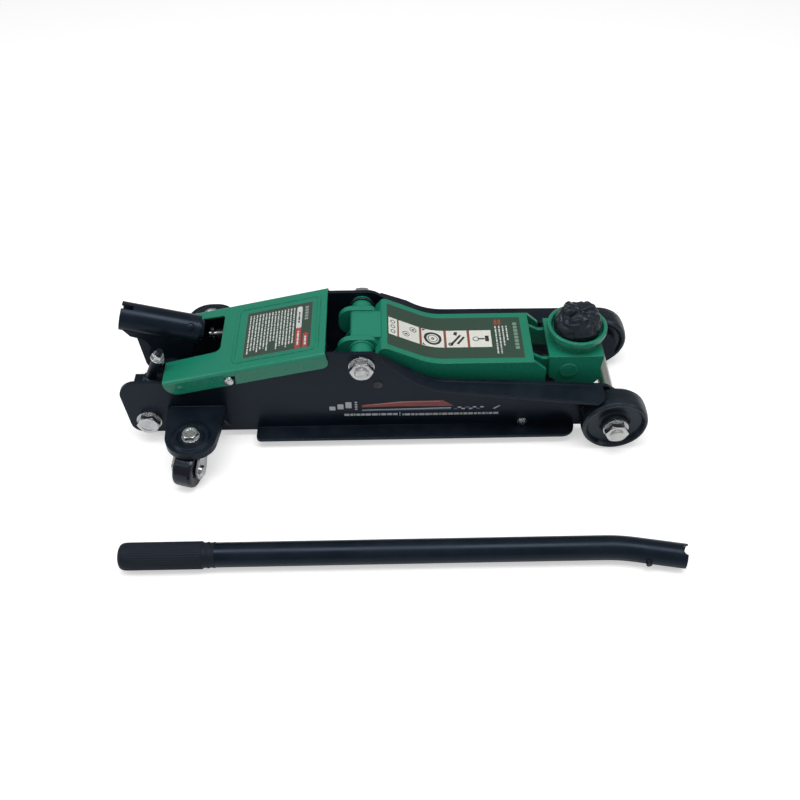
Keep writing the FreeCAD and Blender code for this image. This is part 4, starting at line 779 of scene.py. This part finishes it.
class JACK_OT_arm_label(Operator):
    """Prints the label along the arm: a strip of plain picture squares and some rows of print"""
    bl_idname = "jack.arm_label"
    bl_label = "Arm label"

    def execute(self, context):
        looks = context.scene.jack_looks
        label = Label("lift_arm", lambda u, v: at(u, v, 200), Vector((0, 0, -1)))
        label.strip(26.5, 168.5, -31.0, 31.0, 0, 0, corner=1.5, steps=48)
        squares = ((28.0, 37.0), (38.6, 60.0), (62.4, 86.0), (88.6, 110.6), (113.2, 136.0))
        for low, high in squares:
            label.strip(low, high, -14.5, 11.0, 2, 1, steps=8)
        for (_, left), (right, _) in zip(squares, squares[1:]):
            label.strip(left + 0.3, right - 0.3, -15.0, 11.5, 3, 1, steps=2)
        for k in range(3):
            label.ring(32.5, 5.5 - 7.2 * k, 2.5, 1.7, 4, 2, 18)
        label.ring(46.0, -6.0, 3.6, 2.9, 4, 2)
        label.ring(53.5, 3.5, 3.6, 2.9, 4, 2)
        label.shape([(44.6, -7.0), (47.6, -7.0), (47.6, -5.0), (44.6, -5.0)], 4, 2)
        label.shape([(52.0, 2.4), (55.2, 2.4), (54.4, 4.6), (52.6, 4.6)], 4, 2)
        label.ring(74.2, -1.8, 9.4, 6.6, 4, 2, 36)
        label.ring(74.2, -1.8, 5.2, 4.4, 4, 2, 30)
        label.ring(74.2, -1.8, 1.8, 0.7, 4, 2, 16)
        label.shape([(63.4, 7.0), (66.6, 10.2), (63.4, 10.2)], 4, 2)
        label.shape([(63.4, -13.6), (66.6, -13.6), (63.4, -10.4)], 4, 2)
        label.shape([(92.0, -10.0), (94.2, -11.4), (104.6, 3.2), (102.6, 4.6)], 4, 2)
        label.shape([(99.0, -8.8), (101.2, -10.2), (108.4, 0.4), (106.4, 1.8)], 4, 2)
        label.ring(92.8, -9.6, 2.6, 1.2, 4, 2, 18)
        label.shape([(96.0, 4.8), (99.6, 3.0), (100.6, 8.6), (97.4, 9.0)], 4, 2)
        label.ring(119.6, -2.0, 3.4, 2.5, 4, 2, 20)
        label.shape([(122.4, -3.0), (129.0, -3.0), (129.0, -1.0), (122.4, -1.0)], 4, 2)
        label.shape([(129.4, -6.0), (133.4, -6.0), (133.4, 2.6), (129.4, 2.6)], 4, 2)
        label.strip(140.6, 143.6, 19.5, 27.5, 3, 1, corner=0.4)
        label.strip(144.8, 147.8, 19.5, 27.5, 3, 1, corner=0.4)
        for row, (low, high) in enumerate(((-24.5, 17.5), (-24.5, 17.5), (-13.0, 17.5), (-6.5, 17.5))):
            start = 140.8 + 3.9 * row
            label.words((start, start + 1.5), low, high, 1, 1, 11 + row)
        for row in range(8):
            label.strip(160.4, 164.6, -18.0 + row * 5.2, -14.0 + row * 5.2, 5, 1, corner=0.6)
        ground = print_ink("Arm label ground", looks.label_ground, 0.5)
        label.make("arm_label", "arm", [ground, print_ink("Label white", (0.68, 0.7, 0.69)),
                                        print_ink("Label cream", (0.82, 0.83, 0.76)),
                                        print_ink("Label rust", (0.3, 0.075, 0.045)),
                                        print_ink("Label ink", (0.03, 0.032, 0.035)),
                                        print_ink("Label pale green", (0.2, 0.33, 0.26))])
        return {"FINISHED"}


class JACK_OT_plate_stripes(Operator):
    """Prints plain stripes and a row of small print on the near side plate"""
    bl_idname = "jack.plate_stripes"
    bl_label = "Side stripes"

    def execute(self, context):
        print_of = Label("side_plate_near", lambda u, v: at(u, -150, v), Vector((0, 1, 0)))
        for k in range(3):
            print_of.strip(-36.0 + 8.6 * k, -29.6 + 8.6 * k, 38.6 + 1.5 * k, 44.6 + 3.2 * k, 0, 0, corner=0.8)
        for k in range(4):
            print_of.strip(-9.0, -6.4, 38.8 + 3.5 * k, 40.9 + 3.5 * k, 0, 0)
        red = [(-1.5, 42.6), (36.0, 43.4), (96.0, 42.6), (90.0, 47.4), (84.0, 51.6), (40.0, 51.2),
               (-1.5, 46.2)]
        print_of.shape(red, 1, 0)
        pale = [(2.0, 45.2), (44.0, 49.2), (82.0, 49.8), (80.0, 51.2), (40.0, 50.8), (2.0, 46.2)]
        print_of.shape(pale, 3, 1)
        print_of.shape([(-1.5, 36.6), (93.0, 37.4), (93.0, 39.0), (-1.5, 37.8)], 2, 0)
        print_of.shape([(-1.5, 37.9), (93.0, 39.1), (93.0, 40.6), (-1.5, 38.8)], 0, 0)
        for k in range(8):
            u, v = 96.0 + 4.0 * k, 37.2 + (2.3 if k % 2 else 0)
            print_of.strip(u, u + 3.8, v, v + 2.0, 0 if k % 3 else 2, 0)
        print_of.shape([(137.4, 38.0), (139.4, 37.0), (145.2, 41.8), (144.0, 42.4)], 0, 0)
        print_of.words((29.6, 32.8), -21.0, 36.2, 0, 0, 5, across=False)
        print_of.strip(38.2, 39.0, 28.4, 34.2, 0, 0)
        print_of.words((28.8, 32.0), 41.2, 144.0, 0, 0, 6, across=False)
        print_of.make("side_stripes", "frame", [print_ink("Stripe white", (0.52, 0.55, 0.58)),
                                                print_ink("Stripe red", (0.3, 0.05, 0.045)),
                                                print_ink("Stripe blue", (0.06, 0.13, 0.3)),
                                                print_ink("Stripe pale red", (0.46, 0.2, 0.17))])
        return {"FINISHED"}


class JACK_OT_welds(Operator):
    """Lays the weld beads of the hub, the arm and the caster brackets"""
    bl_idname = "jack.welds"
    bl_label = "Weld beads"

    def bead(self, points, radius, seed):
        """A scalloped bead along a line of points."""
        fine = []
        for a, b in zip(points, points[1:]):
            count = max(2, int((b - a).length / 0.0006))
            fine += [a.lerp(b, k / count) for k in range(count)]
        fine.append(points[-1])
        rng = random.Random(seed)
        phase = rng.uniform(0, 6)
        radii = []
        for k in range(len(fine)):
            ends = min(1.0, 0.35 + min(k, len(fine) - 1 - k) / 6)
            radii.append(radius * ends * (0.9 + 0.12 * math.sin(k * 1.5 + phase) + 0.06 * rng.uniform(-1, 1)))
        return swept(fine, radii, 10)

    def lay(self, name, body, material, lines, slot):
        verts, faces = [], []
        for index, (points, radius) in enumerate(lines):
            more, bands = self.bead(points, radius * MM, index)
            faces += [tuple(v + len(verts) for v in face) for face in bands]
            verts += more
        return piece(name, verts, faces, body, [material])

    def execute(self, context):
        looks = context.scene.jack_looks
        dark, green = dark_paint(looks), green_enamel(looks)
        lines = []
        for sign in (-1, 1):
            y = 49.1 * sign     # just outside the side plate
            lines.append(([at(-203.0, y, 48.2), at(-145.5, y, 48.2)], 1.2))
            lines.append(([at(-143.6, y, 45.0), at(-143.6, y, 22.0)], 1.0))
        self.lay("bracket_welds", "frame", dark, lines, "blue_black_paint")
        hub, rings = 12.1, []
        height = PIVOT.z / MM
        for y in (-26.5, 26.5):      # outer faces of the hub's cheeks
            points = [at(hub * math.cos(math.radians(a)), y, height + hub * math.sin(math.radians(a)))
                      for a in range(-60, 301, 10)]
            rings.append((points, 1.3))
        self.lay("hub_welds", "arm", green, rings, "green_enamel")
        return {"FINISHED"}


class JACK_OT_small_parts(Operator):
    """Adds the far hub's black ring, the pressed dots of the cover and the rivet of the handle socket"""
    bl_idname = "jack.small_parts"
    bl_label = "Small parts"

    def execute(self, context):
        looks = context.scene.jack_looks
        hub_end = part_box("arm_hub")[1].y
        ring_inset = 5.2 * MM      # from the hub's far end to the middle of its ring
        centre = Vector((PIVOT.x, hub_end - ring_inset, PIVOT.z))
        radius = 11.55 * MM
        profile = [(radius, -0.0014), (radius + 0.0012, -0.0016), (radius + 0.0021, -0.0008),
                   (radius + 0.0023, 0.0002), (radius + 0.0019, 0.0012), (radius + 0.001, 0.0016),
                   (radius, 0.0014)]
        verts, faces = lathe(profile, centre, Vector((0, 1, 0)), Vector((1, 0, 0)), 64)
        piece("hub_ring", verts, faces, "arm", [wheel_black()])

        dot = [(0.0, 0.55), (1.4, 0.5), (2.3, 0.32), (2.9, 0.08), (3.1, -0.15)]
        verts, faces = [], []
        for x, z in ((-185.7, 79.3), (-55.6, 106.8)):      # rear and front dot of the cover's skirt
            for sign in (-1, 1):
                more, bands = lathe([(r * MM, h * MM) for r, h in dot], at(x, 51.5 * sign, z),
                                    Vector((0, sign, 0)), Vector((1, 0, 0)), 24)
                faces += [tuple(v + len(verts) for v in face) for face in bands]
                verts += more
        piece("cover_dots", verts, faces, "frame", [green_enamel(looks)])

        lean = math.radians(15.5)     # the socket's slope at rest
        along = Vector((-math.cos(lean), 0, math.sin(lean)))
        upward = Vector((math.sin(lean), 0, math.cos(lean)))
        round_by = math.radians(48)
        normal = (Vector((0, -1, 0)) * math.cos(round_by) + upward * math.sin(round_by)).normalized()
        head = [(0.0, 1.5), (1.6, 1.4), (3.0, 1.0), (3.9, 0.3), (4.2, -0.6)]
        foot = at(-170, 10, 103.5) + along * 9.5 * MM + normal * 14.9 * MM
        verts, faces = lathe([(r * MM, h * MM) for r, h in head], foot, normal, along, 32)
        piece("socket_rivet", verts, faces, "socket", [dark_paint(looks)])
        return {"FINISHED"}


class JACK_OT_stage(Operator):
    """Sets the pale floor, the soft studio light and the camera"""
    bl_idname = "jack.stage"
    bl_label = "Stage"

    def execute(self, context):
        scene = context.scene
        scale = scene.jack_looks.light
        bpy.ops.mesh.primitive_plane_add(size=14, location=(0, 0, 0))
        floor = context.object
        floor.name = "floor"
        paper = bpy.data.materials.new("Pale floor")
        paper.use_nodes = True
        shader = paper.node_tree.nodes["Principled BSDF"]
        shader.inputs["Base Color"].default_value = (0.85, 0.85, 0.85, 1)
        shader.inputs["Roughness"].default_value = 0.8
        shader.inputs["Specular IOR Level"].default_value = 0.1
        shader.inputs["Emission Color"].default_value = (1, 1, 1, 1)
        seen = put(paper.node_tree, "ShaderNodeLightPath").outputs["Is Camera Ray"]
        glow = maths(paper.node_tree, "MULTIPLY", seen, 0.5)     # only the camera sees the floor glow
        paper.node_tree.links.new(glow, shader.inputs["Emission Strength"])
        floor.data.materials.append(paper)

        world = bpy.data.worlds.new("Studio")
        scene.world = world
        world.use_nodes = True
        world.node_tree.nodes["Background"].inputs["Color"].default_value = (1, 1, 1, 1)
        world.node_tree.nodes["Background"].inputs["Strength"].default_value = 0.26 * scale

        def softbox(name, place, target, width, height, power):
            light = bpy.data.lights.new(name, "AREA")
            light.shape = "RECTANGLE"
            light.size, light.size_y = width, height
            light.energy = power * scale
            lamp = bpy.data.objects.new(name, light)
            lamp.location = place
            lamp.rotation_euler = (Vector(target) - Vector(place)).to_track_quat("-Z", "Y").to_euler()
            scene.collection.objects.link(lamp)

        softbox("overhead", (0.0, -0.15, 1.7), (0, 0, 0.05), 1.6, 0.7, 17)
        softbox("left", (-1.4, -0.3, 1.2), (-0.05, 0, 0.05), 0.8, 0.8, 4)
        softbox("right", (1.5, -0.2, 1.2), (0.05, 0, 0.05), 0.8, 0.8, 3)

        lens = bpy.data.cameras.new("camera")
        lens.lens = 41.4
        lens.sensor_width = 36
        lens.clip_end = 30
        camera = bpy.data.objects.new("camera", lens)
        scene.collection.objects.link(camera)
        tilt, heading, roll = math.radians(47.15), math.radians(1.08), math.radians(0.16)
        ahead = Vector((math.sin(heading) * math.cos(tilt), math.cos(heading) * math.cos(tilt),
                        -math.sin(tilt)))
        right = Vector((math.cos(heading), -math.sin(heading), 0))
        down = ahead.cross(right)
        right, down = (right * math.cos(roll) + down * math.sin(roll),
                       down * math.cos(roll) - right * math.sin(roll))
        turn = Matrix((right, -down, -ahead)).transposed().to_4x4()
        turn.translation = at(26.37, -706.08, 761.5)
        camera.matrix_world = turn
        scene.camera = camera
        scene.view_settings.view_transform = "Standard"
        scene.view_settings.look = "None"
        return {"FINISHED"}


STEPS = (JACK_OT_stage, JACK_OT_frame_paint, JACK_OT_enamel, JACK_OT_fasteners, JACK_OT_running_gear,
         JACK_OT_wheels, JACK_OT_springs, JACK_OT_saddle, JACK_OT_handle, JACK_OT_cover_label,
         JACK_OT_arm_label, JACK_OT_plate_stripes, JACK_OT_welds, JACK_OT_small_parts)


class JACK_PT_looks(Panel):
    """Settings and steps of the trolley jack's looks"""
    bl_idname = "JACK_PT_looks"
    bl_label = "Trolley jack"
    bl_space_type = "VIEW_3D"
    bl_region_type = "UI"
    bl_category = "Trolley jack"

    def draw(self, context):
        looks = context.scene.jack_looks
        for name in JackLooks.__annotations__:
            self.layout.prop(looks, name)
        for step in STEPS:
            self.layout.operator(step.bl_idname)


CLASSES = (JackLooks, *STEPS, JACK_PT_looks)


def register():
    for item in CLASSES:
        bpy.utils.register_class(item)
    bpy.types.Scene.jack_looks = PointerProperty(type=JackLooks)


def unregister():
    del bpy.types.Scene.jack_looks
    for item in reversed(CLASSES):
        bpy.utils.unregister_class(item)


def main():
    register()
    for step in STEPS:
        group, name = step.bl_idname.split(".")
        getattr(getattr(bpy.ops, group), name)()


if __name__ == "__main__":
    main()
